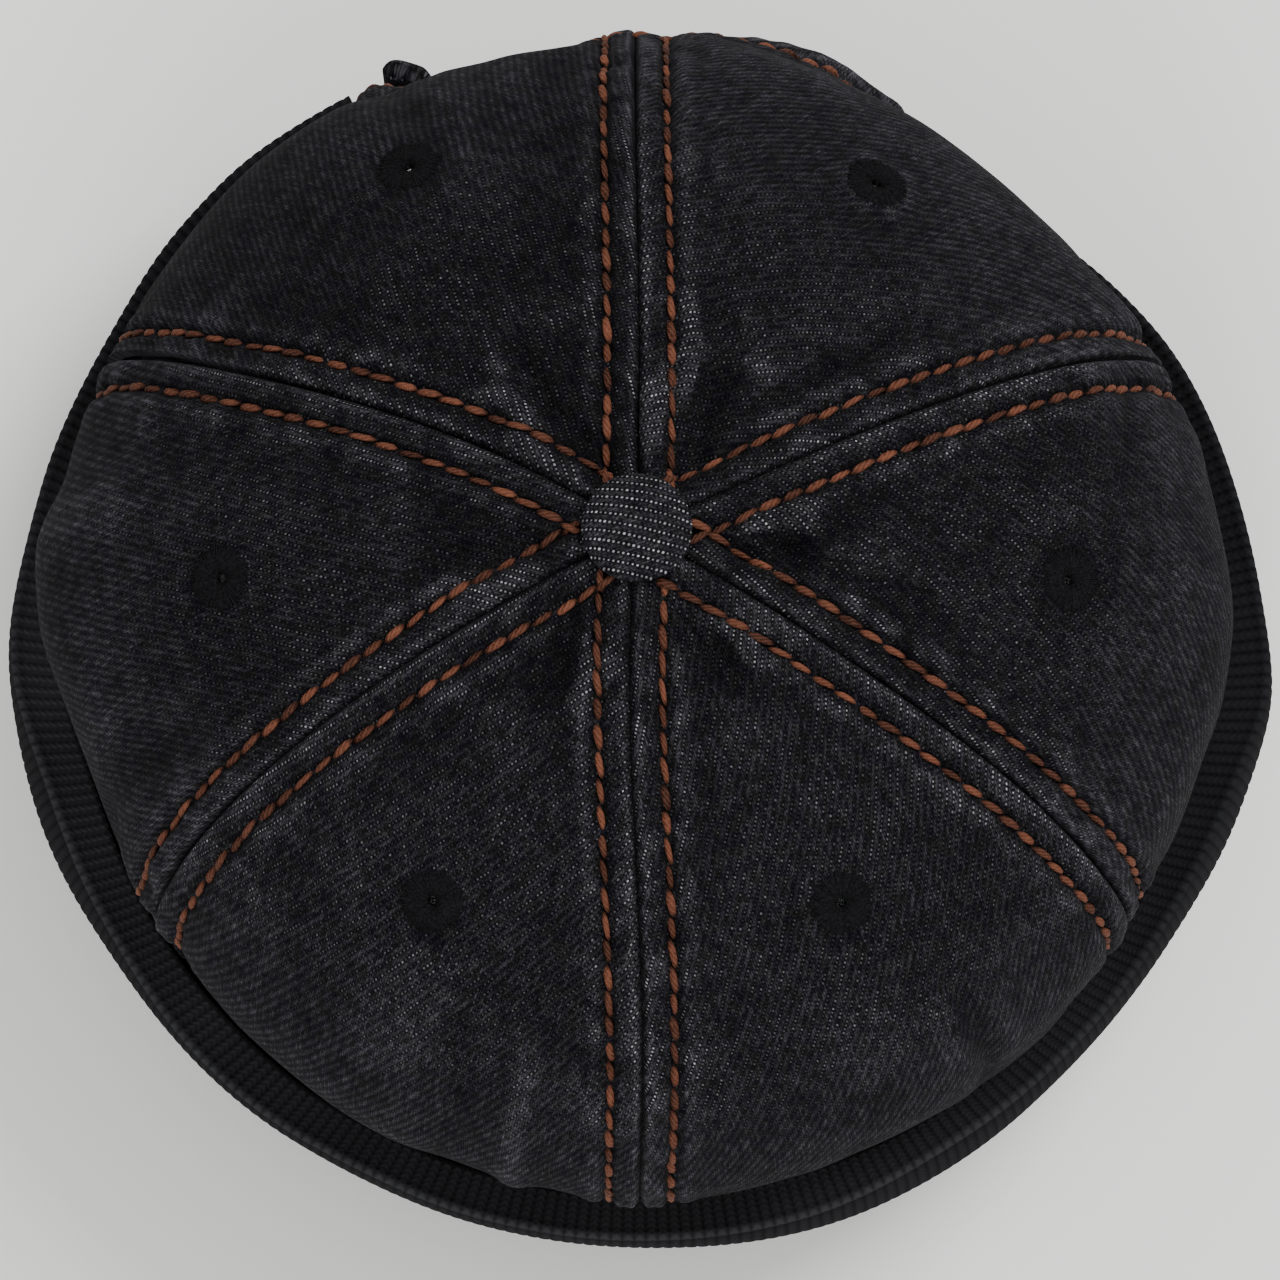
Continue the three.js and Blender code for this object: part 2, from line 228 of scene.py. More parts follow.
# The lengths down each panel between which fluff hides the weft's dots and the ground is painted
# paler: partly fluff, partly painted sheen of the flank seen edge-on.
FLUFF_AND_SHEEN = {
    "side_right": (66, 92),
    "back_right": (50, 78),
    "back_left": (50, 78),
    "side_left": (62, 90),
    "front_left": (74, 100),
    "front_right": (78, 104),
}
# How much paler than the rest the wash has left each panel, at WASH_LENGTHS down it.
WASH_LENGTHS = (25, 65, 105)
WASHED = {
    "side_right": (-0.06, -0.03, 0.09),
    "back_right": (0.0, 0.02, 0.2),
    "back_left": (-0.08, -0.08, 0.0),
    "side_left": (0.0, 0.03, 0.14),
    "front_left": (-0.04, 0.12, 0.12),
    "front_right": (0.06, 0.08, 0.08),
}
ARCHED = ("back_right", "back_left")
ACROSS = 144  # columns of the outer face; the inner face has half as many, as of rows
DOWN = 220
CROWDING = 0.65  # how much closer the columns lie at the seams
TIP_LENGTH = 2.4
SPLIT_LENGTH = 66.0  # down to here the back panels' rows run level; below, they follow the arch
ARCH_SPLIT = 0.38  # and the share of the rows that are above it

ROW_OFFSET = 5.0  # from the seam to its topstitching on either side
SEAM_ROLL = 0.75  # radius of the fold on either side of a seam
ALLOWANCE_LIFT = 0.75
VALLEY = 1.0
ARCH_ROW = 2.8  # from the arch's edge to its topstitching

ARC_ANGLES = np.linspace(0, math.pi / 2, 600)
ARC_STEPS = np.hypot(np.diff(93 * np.sin(ARC_ANGLES)), np.diff(RISE * np.cos(ARC_ANGLES)))
ARC_LENGTHS = np.concatenate([[0], np.cumsum(ARC_STEPS)])
BELLY_LENGTH = ARC_LENGTHS[-1]  # down the cloth from the pole to the belly
HEM_LENGTH = BELLY_LENGTH + BELLY_Z - HEM_Z


def around(column, azimuth):
    """A column of PLAN at any azimuth, on a smooth closed curve through its rows."""
    rows = PLAN[column]
    place = np.mod(azimuth, 360) / 15
    index = np.floor(place).astype(int)
    t = place - index
    a, b, c, d = (rows[(index + shift) % len(rows)] for shift in (-1, 0, 1, 2))
    cubic = (3 * b - a - 3 * c + d) * t**3
    return 0.5 * (2 * b + (c - a) * t + (2 * a - 5 * b + 4 * c - d) * t**2 + cubic)


def smoothstep(low, high, value):
    t = np.clip((value - low) / (high - low), 0, 1)
    return t * t * (3 - 2 * t)


def hump(value, centre, width):
    return np.exp(-(((value - centre) / width) ** 2))


def dome_share(length):
    """The radius as a share of the belly's, for a length down the cloth from the pole."""
    return np.sin(np.interp(length, ARC_LENGTHS, ARC_ANGLES))


def crown_point(azimuth, length):
    """A point of the crown's smooth outer face."""
    azimuth, length = np.broadcast_arrays(azimuth, length)
    belly = around("belly", azimuth)
    drop = np.clip(length - BELLY_LENGTH, 0, None)
    z = BELLY_Z + RISE * np.cos(np.interp(length, ARC_LENGTHS, ARC_ANGLES)) - drop
    tuck = smoothstep(0, BELLY_Z - WAIST_Z, drop)
    radius = belly * dome_share(length) + (around("hem", azimuth) - belly) * tuck
    lean = np.clip((z - BELLY_Z) / RISE, 0, None)
    x = AXIS[0] + LEAN[0] * lean + radius * np.cos(np.radians(azimuth))
    y = AXIS[1] + LEAN[1] * lean + radius * np.sin(np.radians(azimuth))
    return np.stack([x, y, z], -1)


def unit(vectors):
    return vectors / np.linalg.norm(vectors, axis=-1, keepdims=True)


def crown_normal(azimuth, length):
    down = crown_point(azimuth, length + 0.5) - crown_point(azimuth, length - 0.5)
    turn = 0.3
    across = crown_point(azimuth + turn, length) - crown_point(azimuth - turn, length)
    return unit(np.cross(down, across))


def crown_radius(azimuth, length):
    return around("belly", azimuth) * dome_share(length)


def seam_azimuth(name, length):
    top, middle, hem, _ = SEAMS[name]
    t = dome_share(length)
    return top * (1 - t) * (1 - 2 * t) + 4 * middle * t * (1 - t) + hem * t * (2 * t - 1)


def cloth_noise(seed, *coordinates):
    """Smooth noise from -1 to 1, one lattice cell to each unit of the coordinates."""
    cells = [np.floor(c).astype(np.int64) for c in coordinates]
    shares = [smoothstep(0, 1, c - cell) for c, cell in zip(coordinates, cells)]
    total = 0
    for corner in itertools.product((0, 1), repeat=len(coordinates)):
        key = np.int64(seed * 7919)
        weight = 1
        for cell, step, share, prime in zip(cells, corner, shares, (73856093, 19349663, 83492791)):
            key = key ^ ((cell + step) * prime)
            weight = weight * (share if step else 1 - share)
        key = ((key ^ (key >> 13)) * 1274126177) & 0x7FFFFFFF
        key = ((key ^ (key >> 16)) * 668265263) & 0x7FFFFFFF
        total = total + weight * (key / 0x3FFFFFFF - 1)
    return total


def arch_outline():
    """The arch's edge, from its left foot over the top to its right foot, as x and z."""
    angle = np.linspace(math.pi, 0, 241)
    x = ARCH_HALF_WIDTH * np.sign(np.cos(angle)) * np.abs(np.cos(angle)) ** (2 / ARCH_SQUARENESS)
    z = ARCH_SPRING_Z + (ARCH_TOP_Z - ARCH_SPRING_Z) * np.sin(angle).clip(0) ** (2 / ARCH_SQUARENESS)
    foot = [ARCH_HALF_WIDTH, HEM_Z]
    outline = np.vstack([[-foot[0], foot[1]], np.stack([x, z], -1), foot])
    return outline + (AXIS[0], 0)


def arch_distance(point):
    """The distance of points of the cloth from the arch's edge, seen from behind."""
    outline = arch_outline()
    nearest = np.full(point.shape[:-1], 1e9)
    for (x0, z0), (x1, z1) in zip(outline[:-1], outline[1:]):
        dx, dz = x1 - x0, z1 - z0
        t = ((point[..., 0] - x0) * dx + (point[..., 2] - z0) * dz) / (dx * dx + dz * dz + 1e-9)
        t = np.clip(t, 0, 1)
        away = np.hypot(point[..., 0] - x0 - t * dx, point[..., 2] - z0 - t * dz)
        nearest = np.minimum(nearest, away)
    return nearest


def inside_arch(point):
    x = np.abs(point[..., 0] - AXIS[0]) / ARCH_HALF_WIDTH
    height = (1 - x.clip(0, 1) ** ARCH_SQUARENESS) ** (1 / ARCH_SQUARENESS)
    below = point[..., 2] < ARCH_SPRING_Z + (ARCH_TOP_Z - ARCH_SPRING_Z) * height
    return (x < 1) & below & (point[..., 1] > 0)


# Creases that the cloth has taken: on a panel, from one azimuth and radius to another, with
# the depth and the width of the furrow.
CREASES = [
    ("back_right", (57, 13), (60, 29), 3.6, 3.2),
    ("back_right", (65, 32), (72, 42), 1.5, 2.3),
    ("back_right", (48, 20), (40, 56), 0.5, 2.2),
    ("side_right", (354, 15), (352, 27), 3.3, 2.6),
    ("side_right", (350, 26), (345, 50), 0.6, 2.4),
    ("side_left", (184, 15), (186, 32), 2.5, 2.6),
    ("front_left", (231, 14), (238, 29), 2.6, 2.7),
    ("front_right", (299, 14), (300, 27), 2.5, 2.7),
    ("back_left", (120, 13), (121, 36), 2.2, 2.4),
]
CREASE_LEAN = 0.85  # the share of the crown's lean that it has where they lie

# Dents and bulges low on the crown: the azimuth, half the width in degrees, and the height.
DENTS = [
    (200.5, 2.5, -1.8),
    (307, 1.2, -1.3),
    (257.5, 1.5, 1.3),
    (250.5, 2.5, -0.6),
    (173, 3.5, 1.6),
    (0, 4, 0.9),
    (352, 4, 0.5),
    (103, 3, 1.0),
    (115.5, 2, -1.8),
    (21, 2.5, -0.4),
    (36, 3, -0.5),
    (217, 1.5, -0.8),
]


def dent_relief(azimuth, length):
    low = smoothstep(72, 90, length) * (1 - smoothstep(116, 132, length))
    relief = 0
    for middle, half, height in DENTS:
        relief = relief + height * hump(np.mod(azimuth - middle + 180, 360) - 180, 0, 1.2 * half)
    return low * relief


def crease_relief(panel, point):
    centre = np.array(AXIS) + np.array(LEAN) * CREASE_LEAN
    relief = 0
    for name, start, end, depth, width in CREASES:
        if name != panel:
            continue
        angles = np.radians([start[0], end[0]])
        radii = np.array([start[1], end[1]])
        start, end = np.stack([radii * np.cos(angles), radii * np.sin(angles)], -1) + centre
        along = end - start
        length = np.linalg.norm(along)
        along = along / length
        local = point[..., :2] - start
        travel = local @ along
        away = local @ np.array([-along[1], along[0]])
        away = away + 1.2 * cloth_noise(5, travel / 9)
        fade = smoothstep(-0.25 * length, 0.2 * length, travel)
        fade = fade * smoothstep(1.25 * length, 0.7 * length, travel)
        furrow = 0.55 * hump(away, 1.9 * width, 1.3 * width) - hump(away, 0, width)
        relief = relief + depth * fade * furrow
    return relief


def seam_relief(seam, side, offset, length):
    """The cloth near one seam: a rolled edge, the doubled allowance, the row's valley, puckers."""
    seed = 40 + 20 * list(SEAMS).index(seam) + 10 * side
    fold = np.clip((SEAM_ROLL - offset) / SEAM_ROLL, 0, 1)
    relief = -0.9 * SEAM_ROLL * (1 - np.sqrt(1 - fold**2))
    relief = relief + 0.25 * hump(offset, 1.25, 0.75)  # the fold's raised edge
    allowance = smoothstep(0, 1.0, offset) * (1 - smoothstep(ROW_OFFSET - 1.7, ROW_OFFSET - 0.2, offset))
    patch = 0.85 + 0.5 * cloth_noise(seed, length / 9)
    relief = relief + ALLOWANCE_LIFT * patch * allowance
    tension = 0.9 + 0.25 * cloth_noise(seed + 1, length / 2.2)
    relief = relief - VALLEY * tension * hump(offset, ROW_OFFSET, 1.0)
    relief = relief + 0.5 * hump(offset, ROW_OFFSET + 2.6, 1.7)  # the shoulder beyond the row

    # Puckers: fine ones at the row, wide ones that reach into the panel, and, near the top,
    # the hollow that the row draws into the cloth beside it.
    near = (1 - np.exp(-((offset / 1.1) ** 2))) * hump(offset, ROW_OFFSET, 3.8)
    slant = length + 0.5 * np.abs(offset - ROW_OFFSET)
    relief = relief + 0.5 * near * cloth_noise(seed + 2, slant / 2.3, offset / 5)
    wide = (1 - np.exp(-((offset / 1.8) ** 2))) * np.exp(-offset / 11)
    relief = relief + 1.0 * wide * cloth_noise(seed + 3, slant / 5.2, offset / 12)
    drawn = smoothstep(13, 20, length) * (1 - smoothstep(34, 58, length))
    relief = relief - 0.45 * drawn * (1 + cloth_noise(seed + 4, length / 8)) * hump(offset, 10.5, 1.5)

    return relief + SEAMS[seam][3] * np.exp(-((offset / 9) ** 4)) * smoothstep(76, 100, length)


# The lie of the cloth round the arch. To the right of its top the hem flares: how far it
# stands out at each x, and the share of that by the distance from the edge. Over the slide
# the hem is tucked in, and to the left it stands out a little.
ARCH_FLARE = ((2, 8, 12, 17, 25, 30, 36, 40, 44, 48), (0, -0.8, 0.2, 1.6, 3.8, 5.0, 5.4, 6.5, 6.2, 4.2))
FLARE_SHARE = ((0, 0.8, 2.8, 4.6, 6.6, 9.5, 16, 32), (0.95, 1.0, 0.48, 0.2, 0.1, 0.06, 0.03, 0))
ARCH_TUCK = ((0, 3, 6, 12, 20), (-1.8, -1.6, -0.8, 0.5, 0))
ARCH_STAND = ((0, 2.2, 3.2, 8, 18), (7.0, 8.8, 8.2, 3.2, 0))


def arch_relief(point, edge):
    x, z = point[..., 0], point[..., 2]
    hem = 0.45 * (1 - smoothstep(4.6, 6.4, edge)) - 0.75 * (1 - smoothstep(0, 0.9, edge))
    relief = hem - 0.6 * hump(edge, ARCH_ROW, 0.8)
    relief = relief + 0.3 * hump(edge, ARCH_ROW, 3.0) * cloth_noise(13, x / 2.3, z / 2.3)
    upper = smoothstep(38, 52, z)
    lip = 1 + 1.6 * smoothstep(31, 39, x)  # to the right only the hem's lip turns out
    flare = np.interp(x, *ARCH_FLARE) * np.interp(edge, *FLARE_SHARE) ** lip
    relief = relief + upper * flare
    for (distances, heights), window in (
        (ARCH_TUCK, smoothstep(-35, -30, x) * smoothstep(-5, -11, x)),
        (ARCH_STAND, smoothstep(-33, -42, x)),
    ):
        relief = relief + upper * window * np.interp(edge, distances, heights)
    return relief


def seam_distances(panel, azimuth, length):
    """The distances of points of the cloth from the panel's two seams."""
    start, end = PANELS[panel][:2]
    radius = crown_radius(azimuth, length)
    from_start = np.mod(azimuth - seam_azimuth(start, length) + 180, 360) - 180
    from_end = np.mod(seam_azimuth(end, length) - azimuth + 180, 360) - 180
    return [radius * np.sin(np.radians(span).clip(0, 1.5)) for span in (from_start, from_end)]


# The waves in which the cloth lies unevenly: their seeds and their sizes.
LIE = ((11, 31), (14, 17), (12, 9))


def panel_relief(panel, azimuth, length):
    """How far the cloth stands off the crown's smooth face, in millimetres."""
    start, end, eyelet, _ = PANELS[panel]
    point = crown_point(azimuth, length)
    from_start, from_end = seam_distances(panel, azimuth, length)
    relief = np.where(
        from_start < from_end,
        seam_relief(start, 0, from_start, length),
        seam_relief(end, 1, from_end, length),
    )
    middle = smoothstep(6, 20, np.minimum(from_start, from_end))
    low, broad, fine = (
        cloth_noise(seed, *(point[..., i] / size for i in range(3))) for seed, size in LIE
    )
    relief = relief + 1.0 * low + (0.55 * broad + 0.3 * fine) * (0.35 + 0.65 * middle)
    relief = relief + crease_relief(panel, point) + dent_relief(azimuth, length)

    # The cloth lies smooth under the eyelet.
    seat_length = np.interp(eyelet[1] / around("belly", eyelet[0]), np.sin(ARC_ANGLES), ARC_LENGTHS)
    seat = crown_point(eyelet[0], seat_length)
    away = np.linalg.norm(point - seat, axis=-1)
    relief = relief * smoothstep(4.9, 9, away)
    if panel in ARCHED:
        edge = arch_distance(point)
        relief = relief * (0.35 + 0.65 * smoothstep(0, 7, edge)) + arch_relief(point, edge)
    return relief


def make_mesh(name, vertices, faces, flat_faces=0):
    """A smooth mesh from points in millimetres. The last flat_faces are flat."""
    mesh = bpy.data.meshes.new(name)
    mesh.from_pydata((np.asarray(vertices) * MM).tolist(), [], faces)
    smooth = np.arange(len(faces)) < len(faces) - flat_faces
    mesh.polygons.foreach_set("use_smooth", smooth)
    return mesh


def evaluated_mesh(made):
    """A new plain mesh of the object as its modifiers leave it."""
    return bpy.data.meshes.new_from_object(made.evaluated_get(bpy.context.evaluated_depsgraph_get()))


def finished(made, stands_for=None):
    """Hands a finished mesh over: it rides on the cap, and may replace a piece of the frame."""
    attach(made, "root")
    if stands_for:
        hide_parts(stands_for)


def grid_faces(rows, columns, first=0, flip=False):
    """Quads over a grid of points stored row by row."""
    row, column = np.mgrid[0 : rows - 1, 0 : columns - 1]
    corner = (first + row * columns + column).ravel()
    loop = [corner, corner + columns, corner + columns + 1, corner + 1]
    return np.stack(loop[::-1] if flip else loop, -1).tolist()


def rim_loop(rows, columns, first=0):
    """The edge points of a grid, in the order that its wall's faces need."""
    grid = first + np.arange(rows * columns).reshape(rows, columns)
    sides = [grid[-1, :-1], grid[:0:-1, -1], grid[0, :0:-1], grid[:-1, 0]]
    return np.concatenate(sides)


def set_float(mesh, name, values):
    stored = mesh.attributes.new(name, "FLOAT", "POINT")
    stored.data.foreach_set("value", np.asarray(values, np.float32).ravel())


def set_uv(mesh, name, per_vertex):
    """A UV map from one place for each vertex, in millimetres, stored in metres."""
    corners = np.empty(len(mesh.loops), np.int32)
    mesh.loops.foreach_get("vertex_index", corners)
    layer = mesh.uv_layers.new(name=name)
    layer.data.foreach_set("uv", (np.asarray(per_vertex)[corners] * MM).astype(np.float32).ravel())


def blurred(field, reach):
    """A field averaged over a square of cells that reaches so far each way."""
    for axis in (0, 1):
        padded = np.pad(field, [(reach + 1, reach) if a == axis else (0, 0) for a in (0, 1)], "edge")
        total = np.cumsum(padded, axis)
        size = 2 * reach + 1
        upper = np.take(total, range(size, total.shape[axis]), axis)
        field = (upper - np.take(total, range(total.shape[axis] - size), axis)) / size
    return field


def seen_behind(x, z):
    """The azimuth and the length down the cloth of the crown's point at x and z, from behind."""
    length = BELLY_LENGTH + BELLY_Z - z
    if z > BELLY_Z:
        length = float(np.interp(math.acos((z - BELLY_Z) / RISE), ARC_ANGLES, ARC_LENGTHS))
    lean = LEAN[0] * max(0.0, (z - BELLY_Z) / RISE)
    azimuth = 90.0
    for _ in range(8):
        centre = (AXIS[0] + lean, AXIS[1] + LEAN[1] * max(0.0, (z - BELLY_Z) / RISE))
        radius = math.hypot(*(crown_point(azimuth, length)[:2] - centre))
        azimuth = math.degrees(math.acos((x - centre[0]) / radius))
    return azimuth, length


def arched_foot(panel):
    """The lower edge of a back panel from the back seam: half the arch, then the hem."""
    outline = arch_outline()
    side = 1 if panel == "back_right" else -1
    half = outline[(outline[:, 0] - AXIS[0]) * side >= 0]
    half = half[::side]
    spots = [seen_behind(x, z) for x, z in half]
    far = SEAMS["back_right" if side > 0 else "back_left"][2]
    count = 60
    hem = [(spots[-1][0] + (far - spots[-1][0]) * k / count, HEM_LENGTH) for k in range(1, count + 1)]
    foot = np.array(spots + hem)
    foot[0, 0] = seam_azimuth("back", foot[0, 1])
    step = np.hypot(np.diff(foot[:, 0]) * math.radians(92), np.diff(foot[:, 1]))
    return foot, np.concatenate([[0], np.cumsum(step)])


def panel_grid(panel):
    """Azimuths and lengths down the cloth of a panel's outer points, row by row."""
    start, end = PANELS[panel][:2]
    t = np.linspace(0, 1, ACROSS + 1)
    share = t - CROWDING * np.sin(2 * math.pi * t) / (2 * math.pi)
    length = np.linspace(TIP_LENGTH, HEM_LENGTH, DOWN + 1)[:, None] + 0 * share
    if panel in ARCHED:
        upper = int(DOWN * ARCH_SPLIT)
        length[: upper + 1] = np.linspace(TIP_LENGTH, SPLIT_LENGTH, upper + 1)[:, None]
        length[upper:] = SPLIT_LENGTH
    first = seam_azimuth(start, length)
    last = seam_azimuth(end, length)
    last = np.where(last < first, last + 360, last)
    azimuth = first + (last - first) * share
    if panel in ARCHED:
        foot, travel = arched_foot(panel)
        place = travel[-1] * (share if start == "back" else 1 - share)
        sink = np.linspace(0, 1, DOWN - upper + 1)[:, None]
        azimuth[upper:] += sink * (np.interp(place, travel, foot[:, 0]) - azimuth[upper])
        length[upper:] += sink * (np.interp(place, travel, foot[:, 1]) - SPLIT_LENGTH)
    return azimuth, length


EYELET_NECK = 2.2  # radius of the hole through the cloth, which the thread narrows
NECK_CORNERS = 28


def eyelet_seat(panel):
    """The eyelet's place on the crown and its outward direction, in millimetres."""
    azimuth, radius = PANELS[panel][2]
    share = radius / float(around("belly", azimuth))
    length = np.interp(math.asin(share), ARC_ANGLES, ARC_LENGTHS)
    return crown_point(azimuth, length), crown_normal(azimuth, length)


def seat_turn(normal):
    return Vector(normal).to_track_quat("Z", "Y")


def open_eyelet(cloth, panel):
    """Cuts the eyelet's round hole through the panel."""
    place, normal = eyelet_seat(panel)
    turn = np.array(seat_turn(normal).to_matrix())
    count = NECK_CORNERS
    angle = np.linspace(0, 2 * math.pi, count, endpoint=False)
    ring = np.stack([np.cos(angle), np.sin(angle), np.zeros(count)], -1) * EYELET_NECK
    ends = np.vstack([ring + (0, 0, -4), ring + (0, 0, 3)]) @ turn.T + place
    sides = [(i, (i + 1) % count, count + (i + 1) % count, count + i) for i in range(count)]
    faces = [tuple(range(count - 1, -1, -1)), tuple(range(count, 2 * count))] + sides
    punch = placed("punch", make_mesh("punch", ends, faces, len(faces)))
    cut = cloth.modifiers.new("hole", "BOOLEAN")
    cut.operation = "DIFFERENCE"
    cut.solver = "MANIFOLD"
    cut.object = punch
    pierced = evaluated_mesh(cloth)
    cloth.modifiers.remove(cut)
    pierced.name = cloth.name
    cloth.data = pierced
    bpy.data.objects.remove(punch)


# Beside a seam the cloth is pale on its raised edge and on the shoulder beyond the row of
# stitching, and darker between: partly dye that stays unfaded at the row, partly painted shade
# where the row sinks into the cloth. For each band: the distance from the seam, the width, the change.
SEAM_WEAR_AND_SHADE = [
    (1.3, 0.8, 0.3),
    (4.0, 0.9, -0.4),
    (5.9, 0.5, -0.25),
    (8.0, 1.8, 0.05),
    (13.0, 4.0, -0.15),
]


GRAIN_MIDDLE = 60.0  # the length down a panel about which its grain is turned
GRAIN_ORIGIN = (90, 200)  # where that lies on the grain's map, so that no place is below zero


def panel_grain(panel, azimuth, length):
    """The places of a panel's points along and across its weave."""
    start, end, _, skew = PANELS[panel]
    middle = (SEAMS[start][2] + SEAMS[end][2] + (360 if SEAMS[end][2] < SEAMS[start][2] else 0)) / 2
    turn = np.radians(azimuth - middle)
    flat = length * np.cos(turn * (1 - length / BELLY_LENGTH).clip(0))
    place = np.stack([-crown_radius(azimuth, length) * turn, flat - GRAIN_MIDDLE], -1)
    cos, sin = math.cos(math.radians(skew)), math.sin(math.radians(skew))
    return place @ np.array([[cos, -sin], [sin, cos]]) + GRAIN_ORIGIN


def panel_wear_and_shade(panel, azimuth, length, height):
    """How worn a panel's points are, from 0 to 1: by how they stand up, and beside its seams.
    Low values also carry painted shade, in the creases' furrows and at the rows of stitching.
    """
    raised = 0.4 * (height - blurred(height, 5)) + 0.22 * (height - blurred(height, 16))
    crease_shading = crease_relief(panel, crown_point(azimuth, length))
    # Painted shade: the creases' furrows are made darker, and the cloth just beside them paler.
    wear = 0.45 + raised.clip(-0.4, 0.35) + 0.28 * crease_shading
    for side, offset in enumerate(seam_distances(panel, azimuth, length)):
        patchy = 0.75 + 0.5 * cloth_noise(16 + side, length / 6, offset / 6)
        patchy = patchy * (1 - 0.45 * smoothstep(30, 100, length))
        for middle_offset, width, lift in SEAM_WEAR_AND_SHADE:
            wear = wear + lift * patchy * hump(offset, middle_offset, width)
    return np.clip(wear, 0, 1)


def make_panel(panel, material):
    azimuth, length = panel_grid(panel)
    height = panel_relief(panel, azimuth, length)
    normal = crown_normal(azimuth, length)
    smooth = crown_point(azimuth, length)
    outer = smooth + normal * height[..., None]
    lining = (height - CLOTH - 0.35)[::2, ::2, None]
    inner = smooth[::2, ::2] + normal[::2, ::2] * lining
    rows, columns = height.shape
    inner_rows, inner_columns = inner.shape[:2]
    first = rows * columns  # the number of the inner face's first point
    faces = grid_faces(rows, columns) + grid_faces(inner_rows, inner_columns, first, flip=True)
    edge = rim_loop(rows, columns)
    lip = rim_loop(inner_rows, inner_columns, first)
    edge = np.append(edge, edge[0])
    lip = np.append(lip, lip[0])
    walls = [
        [int(edge[2 * k]), int(lip[k]), int(lip[k + 1]), int(edge[2 * k + 2]), int(edge[2 * k + 1])]
        for k in range(len(lip) - 1)
    ]
    vertices = np.vstack([outer.reshape(-1, 3), inner.reshape(-1, 3)])
    made = placed("denim_" + panel, make_mesh("denim_" + panel, vertices, faces + walls, len(walls)))
    grain = panel_grain(panel, azimuth, length)
    set_uv(made.data, "grain", np.vstack([grain.reshape(-1, 2), grain[::2, ::2].reshape(-1, 2)]))
    wear = panel_wear_and_shade(panel, azimuth, length, height)
    rubbed = smoothstep(*FLUFF_AND_SHEEN[panel], length + 5 * cloth_noise(15, azimuth / 7, length / 9))
    washed = np.interp(length, WASH_LENGTHS, WASHED[panel])
    for name, outside, behind in (
        ("wear", wear, 0.4),
        ("rubbed", rubbed, 0),
        ("washed", washed, 0),
        ("inside", np.zeros(first), 1),
    ):
        behind = np.full(inner_rows * inner_columns, behind)
        set_float(made.data, name, np.concatenate([outside.ravel(), behind]))
    made.data.materials.append(material)
    open_eyelet(made, panel)
    finished(made, "panel_" + panel)


WARP_PITCH = 0.38  # about 26 warp ends and 18 weft picks to the centimetre
WEFT_PITCH = 0.56
YARN_DRIFT = 0.9  # how far the yarns wander from straight lines, and over what length
DRIFT_SIZE = 11.1
PATCH_SIZE = 18.2  # of the patches that the wash left pale or dark
CLUSTER_SIZE = 3.03  # of the clusters in which the weft shows more
BLOTCH_SIZE = 3.33  # of the dye's blotches
HUE_SIZE = 2.38  # of the places where the dye is more violet
FUZZ_SIZE = (0.3125, 0.4)  # of the cotton fuzz, drawn coarser than the real one so that it shows

MATH = "ShaderNodeMath"
VECTOR_MATH = "ShaderNodeVectorMath"
NOISE = "ShaderNodeTexNoise"
WHITE_NOISE = "ShaderNodeTexWhiteNoise"
RANGE = "ShaderNodeMapRange"
MIX = "ShaderNodeMix"
MIX_A, MIX_B, MIX_RESULT = 6, 7, 2  # the places of a Mix node's two colours and of its result


